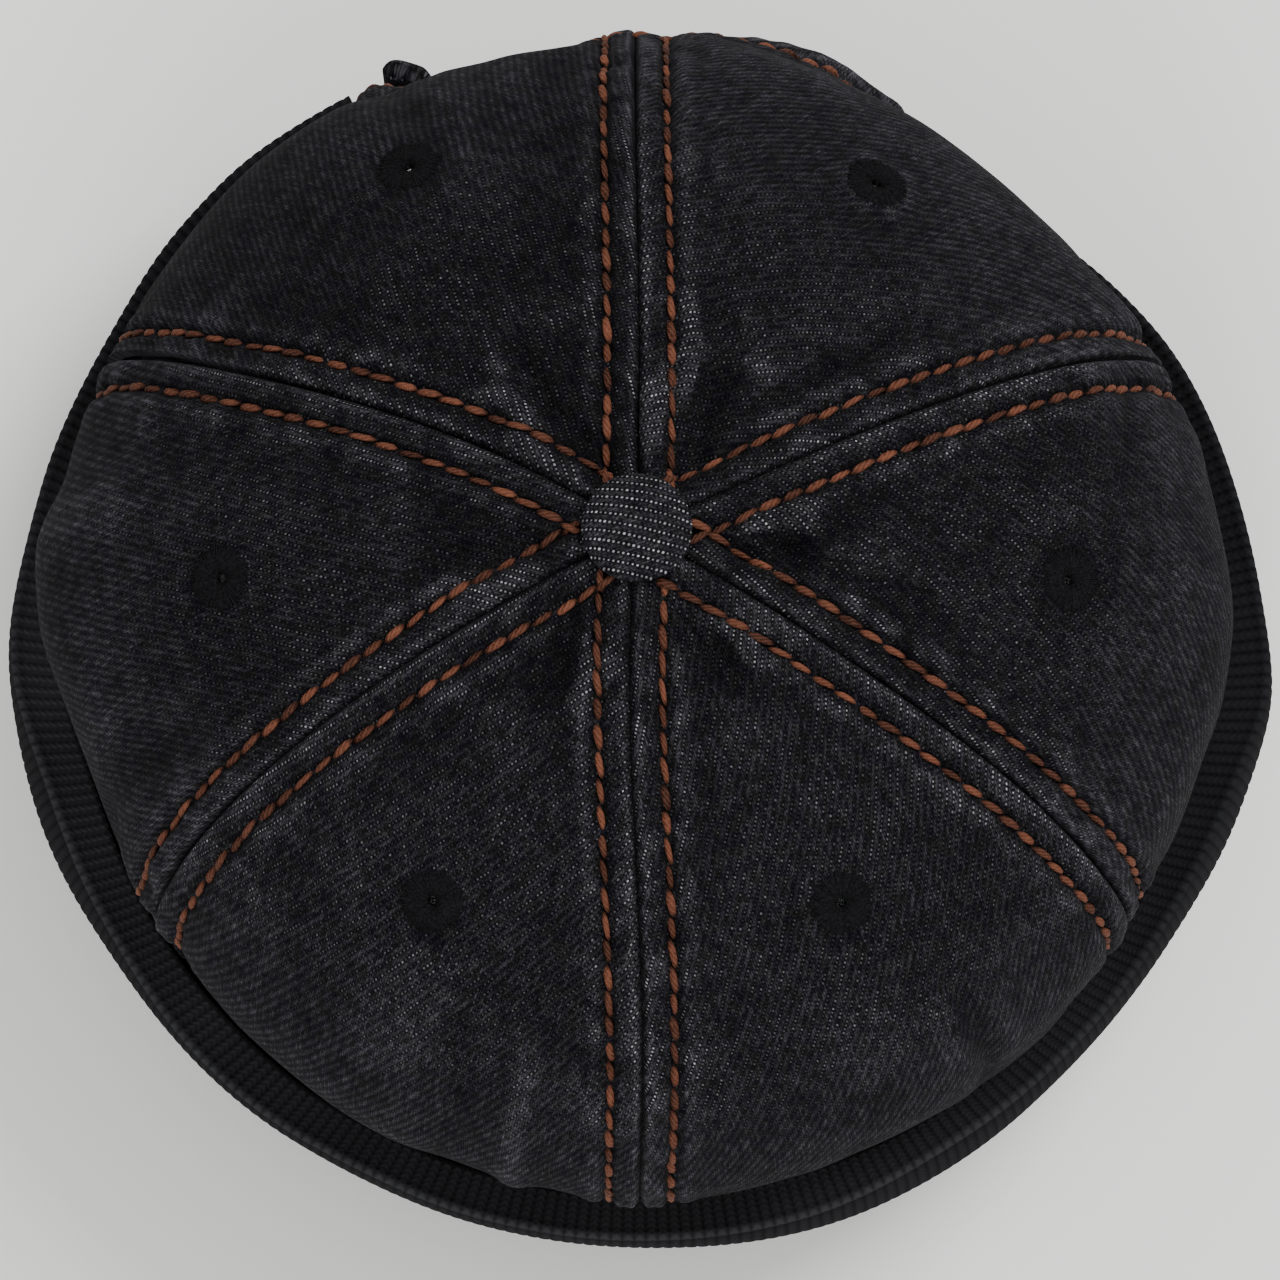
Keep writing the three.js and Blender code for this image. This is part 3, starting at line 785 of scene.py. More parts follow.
def washed_denim():
    """Washed black denim: near-black warp with a violet cast, worn grey where it stands up, and
    white weft that shows as rows of small dots along the twill. Cotton fuzz gives a soft sheen.
    Four attributes say how the cloth is. The first is high where the cloth stands up, and low in
    its creases and at the rows of stitching, partly as painted shade. The second is 1 on the
    reverse. The third is 1 where fluff hides the weft and the ground is painted paler, partly as a
    sheen, and below 0 where the cloth is fresh. The fourth is how much paler the wash has left it."""
    material, tree, shader = new_material("washed_denim")
    grain = node(tree, "ShaderNodeUVMap", uv_map="grain")
    wear, inside, rubbed, washed = (
        node(tree, "ShaderNodeAttribute", attribute_name=name).outputs["Fac"]
        for name in ("wear", "inside", "rubbed", "washed")
    )
    smooth = {"interpolation_type": "SMOOTHSTEP"}

    # The numbers of the warp end and the weft pick at each point, and the place across each, from
    # -0.5 to 0.5. Every fourth crossing along a pick shows the weft, one end further each time.
    drift = node(tree, NOISE, {"Vector": grain, "Scale": 1 / (DRIFT_SIZE * MM), "Detail": 2.0})
    drift = node(tree, VECTOR_MATH, (drift.outputs["Color"], (0.5, 0.5, 0.5)), operation="SUBTRACT")
    drift = node(tree, VECTOR_MATH, (drift, (YARN_DRIFT * MM, YARN_DRIFT * MM, 0)), operation="MULTIPLY")
    cloth = node(tree, VECTOR_MATH, (grain, drift), operation="ADD")
    counts = (1 / (WARP_PITCH * MM), 1 / (WEFT_PITCH * MM), 0)
    yarns = node(tree, VECTOR_MATH, (cloth, counts), operation="MULTIPLY")
    yarns = node(tree, "ShaderNodeSeparateXYZ", (yarns,))
    end = node(tree, MATH, (yarns.outputs[0],), operation="FLOOR")
    pick = node(tree, MATH, (yarns.outputs[1],), operation="FLOOR")
    across = node(tree, MATH, (yarns.outputs[0],), operation="FRACT")
    across = node(tree, MATH, (across, 0.5), operation="SUBTRACT")
    along = node(tree, MATH, (yarns.outputs[1],), operation="FRACT")
    along = node(tree, MATH, (along, 0.5), operation="SUBTRACT")
    stagger = node(tree, MATH, (pick, end), operation="SUBTRACT")
    crossing = node(tree, MATH, (stagger, 4.0), operation="FLOORED_MODULO")
    crossing = node(tree, MATH, (crossing, 0.0, 0.5), operation="COMPARE")

    # How worn the cloth is: in patches, on ridges, where fluff covers it and where it is fresh. Its
    # lows also carry painted shade in creases and at rows of stitching, and where fluff lies the ground
    # carries a painted sheen.
    patch = {"Vector": grain, "Scale": 1 / (PATCH_SIZE * MM), "Detail": 4.0, "Roughness": 0.62}
    patch = node(tree, NOISE, patch)
    patch = node(tree, RANGE, (patch, 0.36, 0.66), **smooth)
    cluster = {"Vector": grain, "Scale": 1 / (CLUSTER_SIZE * MM), "Detail": 1.0}
    cluster = node(tree, NOISE, cluster)
    cluster = node(tree, RANGE, (cluster, 0.4, 0.62), **smooth)
    blotch = {"Vector": grain, "Scale": 1 / (BLOTCH_SIZE * MM), "Detail": 3.5, "Roughness": 0.8}
    blotch = node(tree, NOISE, blotch)
    blotch = node(tree, RANGE, (blotch, 0.3, 0.7, 0.5, 1.5), **smooth)
    ridge = node(tree, RANGE, (wear, 0.42, 0.95), **smooth)
    # This also follows the painted shade in the creases and at the rows of stitching.
    worn = node(tree, RANGE, (wear, 0.0, 1.0, 0.62, 1.22), **smooth)
    fluff_sheen = node(tree, MATH, (rubbed, 0.0), operation="MAXIMUM")
    fresh = node(tree, MATH, (rubbed, -1.0), operation="MULTIPLY")
    fresh = node(tree, MATH, (fresh, 0.0), operation="MAXIMUM")

    # The weft's dots: each has a size and a brightness of its own.
    place = node(tree, "ShaderNodeCombineXYZ", (end, pick))
    chance = node(tree, WHITE_NOISE, {"Vector": place}, noise_dimensions="3D")
    size = node(tree, MATH, (chance.outputs["Value"], 0.4, 0.82), operation="MULTIPLY_ADD")
    across_dot = node(tree, MATH, (across, size), operation="DIVIDE")
    across_dot = node(tree, MATH, (across_dot, across_dot), operation="MULTIPLY")
    along_dot = node(tree, MATH, (along, size), operation="DIVIDE")
    along_dot = node(tree, MATH, (along_dot, along_dot), operation="MULTIPLY")
    dot = node(tree, MATH, (along_dot, 1.6, across_dot), operation="MULTIPLY_ADD")
    dot = node(tree, RANGE, (dot, 0.02, 0.26, 1.0, 0.0), **smooth)
    dot = node(tree, MATH, (dot, crossing), operation="MULTIPLY")
    lucky = node(tree, "ShaderNodeSeparateXYZ", (chance.outputs["Color"],))
    lucky = node(tree, MATH, (lucky.outputs[1], 1.4), operation="POWER")
    open_weave = node(tree, MATH, (ridge, 0.46, 0.19), operation="MULTIPLY_ADD")
    open_weave = node(tree, MATH, (patch, 0.3, open_weave), operation="MULTIPLY_ADD")
    cluster = node(tree, MATH, (cluster, 0.45, 0.52), operation="MULTIPLY_ADD")
    open_weave = node(tree, MATH, (open_weave, cluster), operation="MULTIPLY")
    even = node(tree, MATH, (ridge, ridge), operation="MULTIPLY")
    even = node(tree, MATH, (even, 0.25, 0.04), operation="MULTIPLY_ADD")
    even = node(tree, MATH, (fresh, 0.3, even), operation="MULTIPLY_ADD")
    show = node(tree, MATH, (lucky, 0.78, even), operation="MULTIPLY_ADD")
    show = node(tree, MATH, (show, open_weave), operation="MULTIPLY")
    bare = node(tree, MATH, (rubbed, -0.88, 1.0), operation="MULTIPLY_ADD")
    show = node(tree, MATH, (show, bare), operation="MULTIPLY")
    show = node(tree, MATH, (show, worn), operation="MULTIPLY")
    show = node(tree, MATH, (dot, show), operation="MULTIPLY")
    show = node(tree, MATH, (show, 1.0), operation="MINIMUM")

    # The warp: round ends, the twill's slanting ridges, and each float faded by its own share.
    crown = node(tree, MATH, (across, math.pi), operation="MULTIPLY")
    crown = node(tree, MATH, (crown,), operation="COSINE")
    crown = node(tree, MATH, (crown, 0.55, 0.45), operation="MULTIPLY_ADD")
    wale = node(tree, MATH, (yarns.outputs[1], yarns.outputs[0]), operation="SUBTRACT")
    wale = node(tree, MATH, (wale, math.pi / 2), operation="MULTIPLY")
    wale = node(tree, MATH, (wale,), operation="COSINE")
    wale = node(tree, MATH, (wale, -0.5), operation="MULTIPLY")
    relief = node(tree, MATH, (fluff_sheen, -0.3, 0.95), operation="MULTIPLY_ADD")
    wale = node(tree, MATH, (wale, relief, 0.575), operation="MULTIPLY_ADD")
    warp = node(tree, MATH, (crown, wale), operation="MULTIPLY")
    place = node(tree, MATH, (stagger, 4.0), operation="DIVIDE")
    place = node(tree, MATH, (place,), operation="FLOOR")
    place = node(tree, "ShaderNodeCombineXYZ", (end, place, 7.5))
    faded = node(tree, WHITE_NOISE, {"Vector": place}, noise_dimensions="3D")
    faded = node(tree, MATH, (faded, 1.3), operation="POWER")
    faded = node(tree, MATH, (faded, 0.6, 0.4), operation="MULTIPLY_ADD")
    specks = (1 / (FUZZ_SIZE[0] * MM), 1 / (FUZZ_SIZE[1] * MM), 0)
    speck = node(tree, VECTOR_MATH, (grain, specks), operation="MULTIPLY")
    speck = node(tree, NOISE, {"Vector": speck, "Scale": 1.0, "Detail": 1.0})
    speck = node(tree, RANGE, (speck, 0.34, 0.66), **smooth)
    speck_share = node(tree, MATH, (fluff_sheen, -0.35, 1.0), operation="MULTIPLY_ADD")
    specked = node(tree, MATH, (fluff_sheen, 0.17, 0.2), operation="MULTIPLY_ADD")
    specked = node(tree, MATH, (speck, speck_share, specked), operation="MULTIPLY_ADD")
    faded = node(tree, MATH, (faded, specked), operation="MULTIPLY")
    rub = node(tree, MATH, (ridge, 0.22, 0.26), operation="MULTIPLY_ADD")
    rub = node(tree, MATH, (patch, 0.15, rub), operation="MULTIPLY_ADD")
    # Where fluff lies the ground is paler: partly fluff, partly painted sheen.
    rub = node(tree, MATH, (rubbed, 0.2, rub), operation="MULTIPLY_ADD")
    rub = node(tree, MATH, (rub, washed), operation="ADD")
    rub = node(tree, MATH, (rub, worn), operation="MULTIPLY")
    rub = node(tree, MATH, (rub, blotch), operation="MULTIPLY")
    lift = node(tree, MATH, (warp, rub), operation="MULTIPLY")
    lift = node(tree, MATH, (faded, lift), operation="MULTIPLY")
    lift = node(tree, MATH, (lift, 1.0), operation="MINIMUM")

    # The dye, violet or black from place to place, then its faded parts, then the weft over it.
    hue = node(tree, NOISE, {"Vector": grain, "Scale": 1 / (HUE_SIZE * MM), "Detail": 1.0})
    hue = node(tree, RANGE, (hue, 0.42, 0.58), **smooth)
    colour = linear("#07060b")
    for share, over in ((hue, "#090908"), (lift, "#56545a"), (show, "#a9a9ae")):
        colour = {0: share, MIX_A: colour, MIX_B: linear(over)}
        colour = node(tree, MIX, colour, data_type="RGBA").outputs[MIX_RESULT]
    back = {0: warp, MIX_A: linear("#3b3b40"), MIX_B: linear("#56565b")}
    back = node(tree, MIX, back, data_type="RGBA").outputs[MIX_RESULT]
    colour = {0: inside, MIX_A: colour, MIX_B: back}
    colour = node(tree, MIX, colour, data_type="RGBA").outputs[MIX_RESULT]
    height = node(tree, MATH, (dot, 0.4, warp), operation="MULTIPLY_ADD")
    height = node(tree, MATH, (speck, 0.3, height), operation="MULTIPLY_ADD")
    bump = node(tree, "ShaderNodeBump", {"Strength": 0.8, "Distance": 0.00013, "Height": height})
    values = {"Roughness": 0.9, "Specular IOR Level": 0.012, "Sheen Weight": 0.015, "Sheen Roughness": 0.45}
    set_shader(shader, colour, values, bump)
    return material


denim = washed_denim()
for panel in PANELS:
    make_panel(panel, denim)


# The topstitching. Thick rust-brown polyester jeans thread, two plies twisted, sewn by a twin
# needle in rows 5 mm on either side of each seam and once round the arch. Each row runs on
# under the button, so neighbouring rows cross there.

# The places of a Random Value node's limits when it gives a number. A vector's are 0 and 1.
LOWEST, HIGHEST = 2, 3

STITCH_PITCH = 4.1
STITCH_LENGTH = 5.1
STITCH_WIDTH = 1.38
STITCH_SLANT = 0.16  # radians from the row, as the machine's twist lays each stitch
ROW_END_RADIUS = 8.2
PLY_PITCH = (1.3, 0.51)  # between the plies' highlights, along the thread and across it
THREAD_GRIT = 0.45  # size of the filaments' unevenness


def tube_faces(rings, corners, flip=False):
    """Quads between rings of points, and a face across each end."""
    faces = []
    for ring in range(rings - 1):
        for corner in range(corners):
            a, b = ring * corners + corner, ring * corners + (corner + 1) % corners
            faces.append((a, b, b + corners, a + corners) if flip else (a, a + corners, b + corners, b))
    ends = [list(range(corners)), list(range(rings * corners - 1, (rings - 1) * corners - 1, -1))]
    return faces + [end[::-1] if flip else end for end in ends]


def stitch_form():
    """One stitch, along X with +Z up: a plump two-ply thread that dives at both ends."""
    corners, steps = 8, 6
    vertices = []
    for step in range(steps + 1):
        t = step / steps
        plump = (math.sin(math.pi * (0.04 + 0.92 * t)) ** 1.1) * STITCH_WIDTH / 2
        dive = 0.8 * abs(2 * t - 1) ** 3
        for corner in range(corners):
            angle = 2 * math.pi * corner / corners
            half = plump * (1 + 0.17 * math.cos(2 * (angle - 3.6 * t)))
            place = (STITCH_LENGTH * (t - 0.5), half * math.cos(angle), 0.85 * half * math.sin(angle) - dive)
            vertices.append(place)
    mesh = make_mesh("stitch_form", vertices, tube_faces(steps + 1, corners))
    spot = mesh.attributes.new("spot", "FLOAT_VECTOR", "POINT")
    spot.data.foreach_set("vector", np.array(vertices, np.float32).ravel())
    return mesh


def new_tree(name, inputs):
    """A tree with a geometry input and output and the named inputs, and what it is given."""
    tree = bpy.data.node_groups.new(name, "GeometryNodeTree")
    tree.interface.new_socket(name="Geometry", in_out="OUTPUT", socket_type="NodeSocketGeometry")
    for label, kind in {"Geometry": "Geometry", **inputs}.items():
        tree.interface.new_socket(name=label, in_out="INPUT", socket_type="NodeSocket" + kind)
    return tree, node(tree, "NodeGroupInput").outputs


def applied(made, tree, values):
    """The object with the tree's result as its plain mesh; values go in by the inputs' names."""
    modifier = made.modifiers.new(tree.name, "NODES")
    modifier.node_group = tree
    for item in tree.interface.items_tree:
        if item.in_out == "INPUT" and item.name in values:
            modifier[item.identifier] = values[item.name]
    mesh = evaluated_mesh(made)
    made.modifiers.remove(modifier)
    made.data = mesh
    mesh.name = made.name
    return made


def stitch_tree():
    """Sets stitches at an even pitch along each run of edges, turned to the run and the cloth."""
    inputs = {"Stitch": "Object", "Pitch": "Float", "Slant": "Float", "Seed": "Int", "Thread": "Material"}
    tree, given = new_tree("topstitching", inputs)
    run = node(tree, "GeometryNodeMeshToCurve", {"Mesh": given["Geometry"]})
    even = node(tree, "GeometryNodeResampleCurve", {"Curve": run, "Length": given["Pitch"]}, mode="LENGTH")
    tangent = node(tree, "GeometryNodeInputTangent")
    facing = {"Name": "cloth_normal"}
    facing = node(tree, "GeometryNodeInputNamedAttribute", facing, data_type="FLOAT_VECTOR")
    along = node(tree, "FunctionNodeAlignRotationToVector", {"Vector": tangent}, axis="X")
    facing_out = {"Rotation": along, "Vector": facing}
    turned = node(tree, "FunctionNodeAlignRotationToVector", facing_out, axis="Z", pivot_axis="X")
    chance = {LOWEST: -0.05, HIGHEST: 0.05, "Seed": given["Seed"]}
    tilt = node(tree, "FunctionNodeRandomValue", chance, data_type="FLOAT")
    tilt = node(tree, MATH, (tilt.outputs[1], given["Slant"]), operation="ADD")
    tilt = node(tree, "ShaderNodeCombineXYZ", {2: tilt})
    tilt = node(tree, "FunctionNodeEulerToRotation", (tilt,))
    tilted = {"Rotation": turned, "Rotate By": tilt}
    turned = node(tree, "FunctionNodeRotateRotation", tilted, rotation_space="LOCAL")
    chance = {0: (0.9, 0.78, 0.85), 1: (1.08, 1.18, 1.1), "Seed": given["Seed"]}
    size = node(tree, "FunctionNodeRandomValue", chance, data_type="FLOAT_VECTOR")
    form = node(tree, "GeometryNodeObjectInfo", {"Object": given["Stitch"]}).outputs["Geometry"]
    stitches = {"Points": even, "Instance": form, "Rotation": turned, "Scale": size}
    stitches = node(tree, "GeometryNodeInstanceOnPoints", stitches)
    shade = node(tree, "FunctionNodeRandomValue", {LOWEST: 0.0, HIGHEST: 1.0, "Seed": 7}, data_type="FLOAT")
    shaded = {"Geometry": stitches, "Name": "shade", "Value": shade.outputs[1]}
    shaded = node(tree, "GeometryNodeStoreNamedAttribute", shaded, data_type="FLOAT", domain="INSTANCE")
    real = node(tree, "GeometryNodeRealizeInstances", (shaded,))
    clad = node(tree, "GeometryNodeSetMaterial", {"Geometry": real, "Material": given["Thread"]})
    node(tree, "NodeGroupOutput", (clad,))
    return tree


def run_object(name, runs):
    """Runs of edges with the cloth's normals. Each run is its points and normals, in millimetres."""
    points = np.vstack([points for points, _ in runs])
    normals = np.vstack([normals for _, normals in runs])
    edges, first = [], 0
    for run, _ in runs:
        edges += [(first + i, first + i + 1) for i in range(len(run) - 1)]
        first += len(run)
    mesh = bpy.data.meshes.new(name)
    mesh.from_pydata((points * MM).tolist(), edges, [])
    stored = mesh.attributes.new("cloth_normal", "FLOAT_VECTOR", "POINT")
    stored.data.foreach_set("vector", normals.astype(np.float32).ravel())
    return placed(name, mesh)


def panel_at(azimuth, length):
    """The panel that holds a point of the crown."""
    for panel, (start, end, _, _) in PANELS.items():
        first = seam_azimuth(start, length)
        width = np.mod(seam_azimuth(end, length) - first, 360)
        if np.mod(azimuth - first, 360) < width:
            return panel
    raise ValueError("no panel lies there")


def on_cloth(azimuth, length, lift):
    """Points that lie the lift above the cloth, with its normals."""
    normal = crown_normal(azimuth, length)
    height = np.array([float(panel_relief(panel_at(a, q), a, q)) for a, q in zip(azimuth, length)])
    return crown_point(azimuth, length) + normal * (height + lift)[:, None], normal


def seam_row(seam, side):
    """One row of topstitching beside a seam, from the hem to where it passes under the button."""
    length = np.arange(HEM_LENGTH - 24, ROW_END_RADIUS + 0.3, -1.0)
    offset = np.degrees(np.arcsin(np.clip(ROW_OFFSET / crown_radius(SEAMS[seam][1], length), 0, 0.98)))
    azimuth = seam_azimuth(seam, length) + side * offset
    keep = ~inside_arch(crown_point(azimuth, length + 4))
    azimuth, length = azimuth[keep], length[keep]
    lift = 0.45 + 0.35 * (side > 0) * (1 - smoothstep(9, 13, length))
    return on_cloth(azimuth, length, lift)


def topstitch_thread():
    """Rust-brown polyester jeans thread: satin filaments in two plies. Its ends are darker where they
    dive into the cloth, which is painted shade, and the plies' crests are lighter, which is painted
    highlight.
    """
    material, tree, shader = new_material("topstitch_thread")
    shade = node(tree, "ShaderNodeAttribute", attribute_name="shade").outputs["Fac"]
    spot = node(tree, "ShaderNodeAttribute", attribute_name="spot").outputs["Vector"]
    where = node(tree, "ShaderNodeTexCoord").outputs["Object"]
    grit = node(tree, NOISE, {"Vector": where, "Scale": 1 / (THREAD_GRIT * MM), "Detail": 2.0})
    twist = (-2 * math.pi / PLY_PITCH[0], 2 * math.pi / PLY_PITCH[1], 0)
    strand = node(tree, VECTOR_MATH, (spot, twist), operation="DOT_PRODUCT")
    strand = node(tree, MATH, (grit, 6.6, strand.outputs["Value"]), operation="MULTIPLY_ADD")
    strand = node(tree, MATH, (strand,), operation="SINE")
    end = node(tree, "ShaderNodeSeparateXYZ", (spot,))
    end = node(tree, MATH, (end,), operation="ABSOLUTE")
    # Painted shade: the stitch's ends, where it goes down into the cloth, are made darker.
    dive = node(tree, RANGE, (end, STITCH_LENGTH * 0.245, STITCH_LENGTH * 0.461, 1.0, 0.0))
    # The strand also lightens the plies' crests and darkens the grooves between them: painted highlight and
    # shade.
    tone = node(tree, MATH, (strand, 0.22, shade), operation="MULTIPLY_ADD")
    tone = node(tree, MATH, (grit, 0.6, tone), operation="MULTIPLY_ADD")
    tone = node(tree, RANGE, (tone, 0.0, 1.5))
    tone = node(tree, MATH, (tone, dive), operation="MULTIPLY")
    colour = {0: tone, MIX_A: linear("#150906"), MIX_B: linear("#784835")}
    colour = node(tree, MIX, colour, data_type="RGBA").outputs[MIX_RESULT]
    bump = node(tree, "ShaderNodeBump", {"Strength": 0.8, "Distance": 0.0001, "Height": strand})
    set_shader(shader, colour, {"Roughness": 0.75, "Specular IOR Level": 0.15}, bump)
    return material


stitch = bpy.data.objects.new("stitch_form", stitch_form())
thread = topstitch_thread()
sewing = stitch_tree()


def sew(name, runs, seed):
    """A finished piece of stitches along the runs."""
    made = run_object(name, runs)
    values = {"Stitch": stitch, "Thread": thread, "Seed": seed}
    values.update({"Pitch": STITCH_PITCH * MM, "Slant": STITCH_SLANT})
    finished(applied(made, sewing, values))


for number, seam in enumerate(SEAMS):
    sew("topstitch_" + seam, [seam_row(seam, -1), seam_row(seam, 1)], 20 + number)


def arch_row():
    """The row round the arch, a little in from its edge."""
    outline = arch_outline()
    middle = np.array([AXIS[0], ARCH_SPRING_Z - 8])
    runs = []
    for x, z in outline[2:-2:2]:
        away = np.array([x, z]) - middle
        away = away / np.linalg.norm(away)
        x, z = np.array([x, z]) + away * ARCH_ROW
        if z > 44:
            runs.append(seen_behind(x, z))
    azimuth, length = np.array(runs).T
    return on_cloth(azimuth, length, 0.2)


sew("topstitch_arch", [arch_row()], 40)


# The sewn eyelets, one high on each panel: a round hole overcast all round with close turns of
# fine black thread, which pack together into a low ring. A few loose fibres stand in the hole.

EYELET_TURNS = 150
EYELET_FUZZ = 0.42  # size of the thread's fuzz, drawn coarser than the real one so that it shows
# A turn of thread: the distance from the hole's middle and the height above the cloth.
TURN_PATH = [
    (4.9, -0.2),
    (4.5, 0.06),
    (3.9, 0.22),
    (3.0, 0.32),
    (2.2, 0.32),
    (1.5, 0.2),
    (1.0, -0.05),
    (0.72, -0.5),
    (0.8, -1.5),
    (1.7, -2.35),
    (3.0, -2.4),
    (3.7, -2.1),
]


def turned_ring(profile, count):
    """A closed outline of radii and heights turned about Z: its points and faces."""
    profile = np.array(profile)
    angle = np.linspace(0, 2 * math.pi, count, endpoint=False)[:, None]
    x = profile[:, 0] * np.cos(angle)
    y = profile[:, 0] * np.sin(angle)
    points = np.stack([x, y, np.broadcast_to(profile[:, 1], x.shape)], -1).reshape(-1, 3)
    size = len(profile)
    faces = []
    for i in range(count):
        for j in range(size):
            a, b = i * size + j, i * size + (j + 1) % size
            c, d = (i + 1) % count * size + (j + 1) % size, (i + 1) % count * size + j
            faces.append((a, d, c, b))
    return points, faces


def fibres(count, reach, seed):
    """Loose curled fibres that stand up from about the origin: points and faces of thin tubes."""
    chance = np.random.default_rng(seed)
    points, faces = [], []
    for _ in range(count):
        start = np.append(chance.normal(0, 0.35, 2) * reach, -0.6)
        swing = np.append(chance.normal(0, 0.55, 2), chance.uniform(0.4, 1.3)) * reach
        curl = chance.normal(0, 0.35, 3) * reach
        for step in range(5):
            t = step / 4
            middle = start + swing * t + curl * math.sin(math.pi * t)
            for corner in range(3):
                angle = 2 * math.pi * corner / 3
                points.append(middle + 0.035 * (1.2 - t) * np.array([math.cos(angle), math.sin(angle), 0.3]))
        first = len(points) - 15
        faces += [[first + i for i in face] for face in tube_faces(5, 3, flip=True)]
    return points, faces


def eyelet_thread():
    """Fine black cotton, fuzzy and matt, neutral black beside the violet denim."""
    material, tree, shader = new_material("eyelet_thread")
    shade = node(tree, "ShaderNodeAttribute", attribute_name="shade").outputs["Fac"]
    where = node(tree, "ShaderNodeTexCoord").outputs["Object"]
    fuzz = {"Vector": where, "Scale": 1 / (EYELET_FUZZ * MM), "Detail": 3.0, "Roughness": 0.7}
    fuzz = node(tree, NOISE, fuzz)
    tone = node(tree, RANGE, (fuzz, 0.38, 0.75))
    tone = node(tree, MATH, (shade, 0.2, tone), operation="MULTIPLY_ADD")
    colour = {0: tone, MIX_A: linear("#0e0e0f"), MIX_B: linear("#212123")}
    colour = node(tree, MIX, colour, data_type="RGBA").outputs[MIX_RESULT]
    bump = node(tree, "ShaderNodeBump", {"Strength": 0.9, "Distance": 0.0002, "Height": fuzz})
    set_shader(shader, colour, {"Roughness": 0.9, "Specular IOR Level": 0.02}, bump)
    return material


def cotton_fibre():
    """Fibres of the cut cloth, matt, dyed dark grey with the rest."""
    material, _, shader = new_material("cotton_fibre")
    set_shader(shader, "#2e2f31", {"Roughness": 0.95, "Specular IOR Level": 0.1})
    return material


def turn_form():
    """One turn of the overcasting, broad outside and narrow in the hole."""
    path = np.array(TURN_PATH)
    way = np.gradient(path, axis=0)
    way = way / np.linalg.norm(way, axis=1, keepdims=True)
    out = np.stack([way[:, 1], -way[:, 0]], -1)
    vertices = []
    for (radius, height), (out_r, out_z) in zip(path, out):
        half = 1.2 * math.pi * radius / EYELET_TURNS
        for side, lift in ((-1, 0), (0, 0.5), (1, 0), (0, -0.5)):
            vertices.append((radius + out_r * lift * half, side * half, height + out_z * lift * half))
    return bpy.data.objects.new("turn_form", make_mesh("turn_form", vertices, tube_faces(len(path), 4)))


def overcast_tree():
    """Sets turns of thread evenly round a circle and moves them to the eyelet's place."""
    inputs = {"Turn": "Object", "Turns": "Int", "Place": "Vector", "Tilt": "Rotation", "Seed": "Int"}
    tree, given = new_tree("overcasting", {**inputs, "Thread": "Material"})
    points = node(tree, "GeometryNodePoints", {"Count": given["Turns"]})
    index = node(tree, "GeometryNodeInputIndex")
    share = node(tree, MATH, (index, given["Turns"]), operation="DIVIDE")
    angle = node(tree, MATH, (share, 2 * math.pi), operation="MULTIPLY")
    chance = {LOWEST: -0.012, HIGHEST: 0.012, "Seed": given["Seed"]}
    wobble = node(tree, "FunctionNodeRandomValue", chance, data_type="FLOAT")
    angle = node(tree, MATH, (angle, wobble.outputs[1]), operation="ADD")
    turned = node(tree, "ShaderNodeCombineXYZ", {2: angle})
    chance = {0: (0.93, 0.9, 0.94), 1: (1.08, 1.1, 1.06), "Seed": given["Seed"]}
    size = node(tree, "FunctionNodeRandomValue", chance, data_type="FLOAT_VECTOR")
    form = node(tree, "GeometryNodeObjectInfo", {"Object": given["Turn"]}).outputs["Geometry"]
    turns = {"Points": points, "Instance": form, "Rotation": turned, "Scale": size}
    turns = node(tree, "GeometryNodeInstanceOnPoints", turns)
    chance = {LOWEST: 0.0, HIGHEST: 1.0, "Seed": given["Seed"]}
    shade = node(tree, "FunctionNodeRandomValue", chance, data_type="FLOAT")
    shaded = {"Geometry": turns, "Name": "shade", "Value": shade.outputs[1]}
    shaded = node(tree, "GeometryNodeStoreNamedAttribute", shaded, data_type="FLOAT", domain="INSTANCE")
    seated = {"Geometry": shaded, "Translation": given["Place"], "Rotation": given["Tilt"]}
    seated = node(tree, "GeometryNodeTransform", seated)
    real = node(tree, "GeometryNodeRealizeInstances", (seated,))
    clad = node(tree, "GeometryNodeSetMaterial", {"Geometry": real, "Material": given["Thread"]})
    node(tree, "NodeGroupOutput", (clad,))
    return tree


def make_eyelet(panel, seed):
    place, normal = eyelet_seat(panel)
    turn = seat_turn(normal)
    ring = [(r - 0.12 * (r > 2.3), h - 0.1 * (h > 0) + 0.1 * (h < -2)) for r, h in TURN_PATH]
    ring += [(2.6, -2.0), (2.3, -1.2), (2.4, -0.25), (3.6, -0.25)]
    points, faces = turned_ring(ring, 48)
    fluff_points, fluff_faces = fibres(16, 0.5, seed)
    shift = len(points)
    points = np.vstack([points, fluff_points]) @ np.array(turn.to_matrix()).T + place
    faces = faces + [tuple(shift + i for i in face) for face in fluff_faces]
    core = placed("eyelet_ring_" + panel, make_mesh("eyelet_ring_" + panel, points, faces))
    core.data.materials.append(black)
    core.data.materials.append(fluff)
    for face in core.data.polygons[len(faces) - len(fluff_faces) :]:
        face.material_index = 1
    finished(core, "eyelet_" + panel)
    turns = placed("overcasting_" + panel, bpy.data.meshes.new("overcasting_" + panel))
    values = {
        "Turn": thread_turn,
        "Turns": EYELET_TURNS,
        "Place": tuple(place * MM),
        "Tilt": tuple(turn.to_euler()),
        "Seed": seed,
        "Thread": black,
    }
    finished(applied(turns, overcasting, values))


black = eyelet_thread()
fluff = cotton_fibre()
thread_turn = turn_form()
overcasting = overcast_tree()
for number, panel in enumerate(PANELS):
    make_eyelet(panel, 60 + number)
bpy.data.objects.remove(thread_turn)


# The covered button: a domed metal shell with a disc of the same denim drawn over it and
# tucked under its edge, on a shank through the crown's top, clenched inside by a rivet plate.

BUTTON_RADIUS = 8.4
BUTTON_BASE_Z = CROWN_TOP_Z + 0.3
BUTTON_RISE = 5.2
BUTTON_EDGE = 1.8  # height of its widest place above its base
BUTTON_GRAIN = 66.8  # degrees from the cap's left-right line to the weft
BUTTON_STRETCH = 0.87


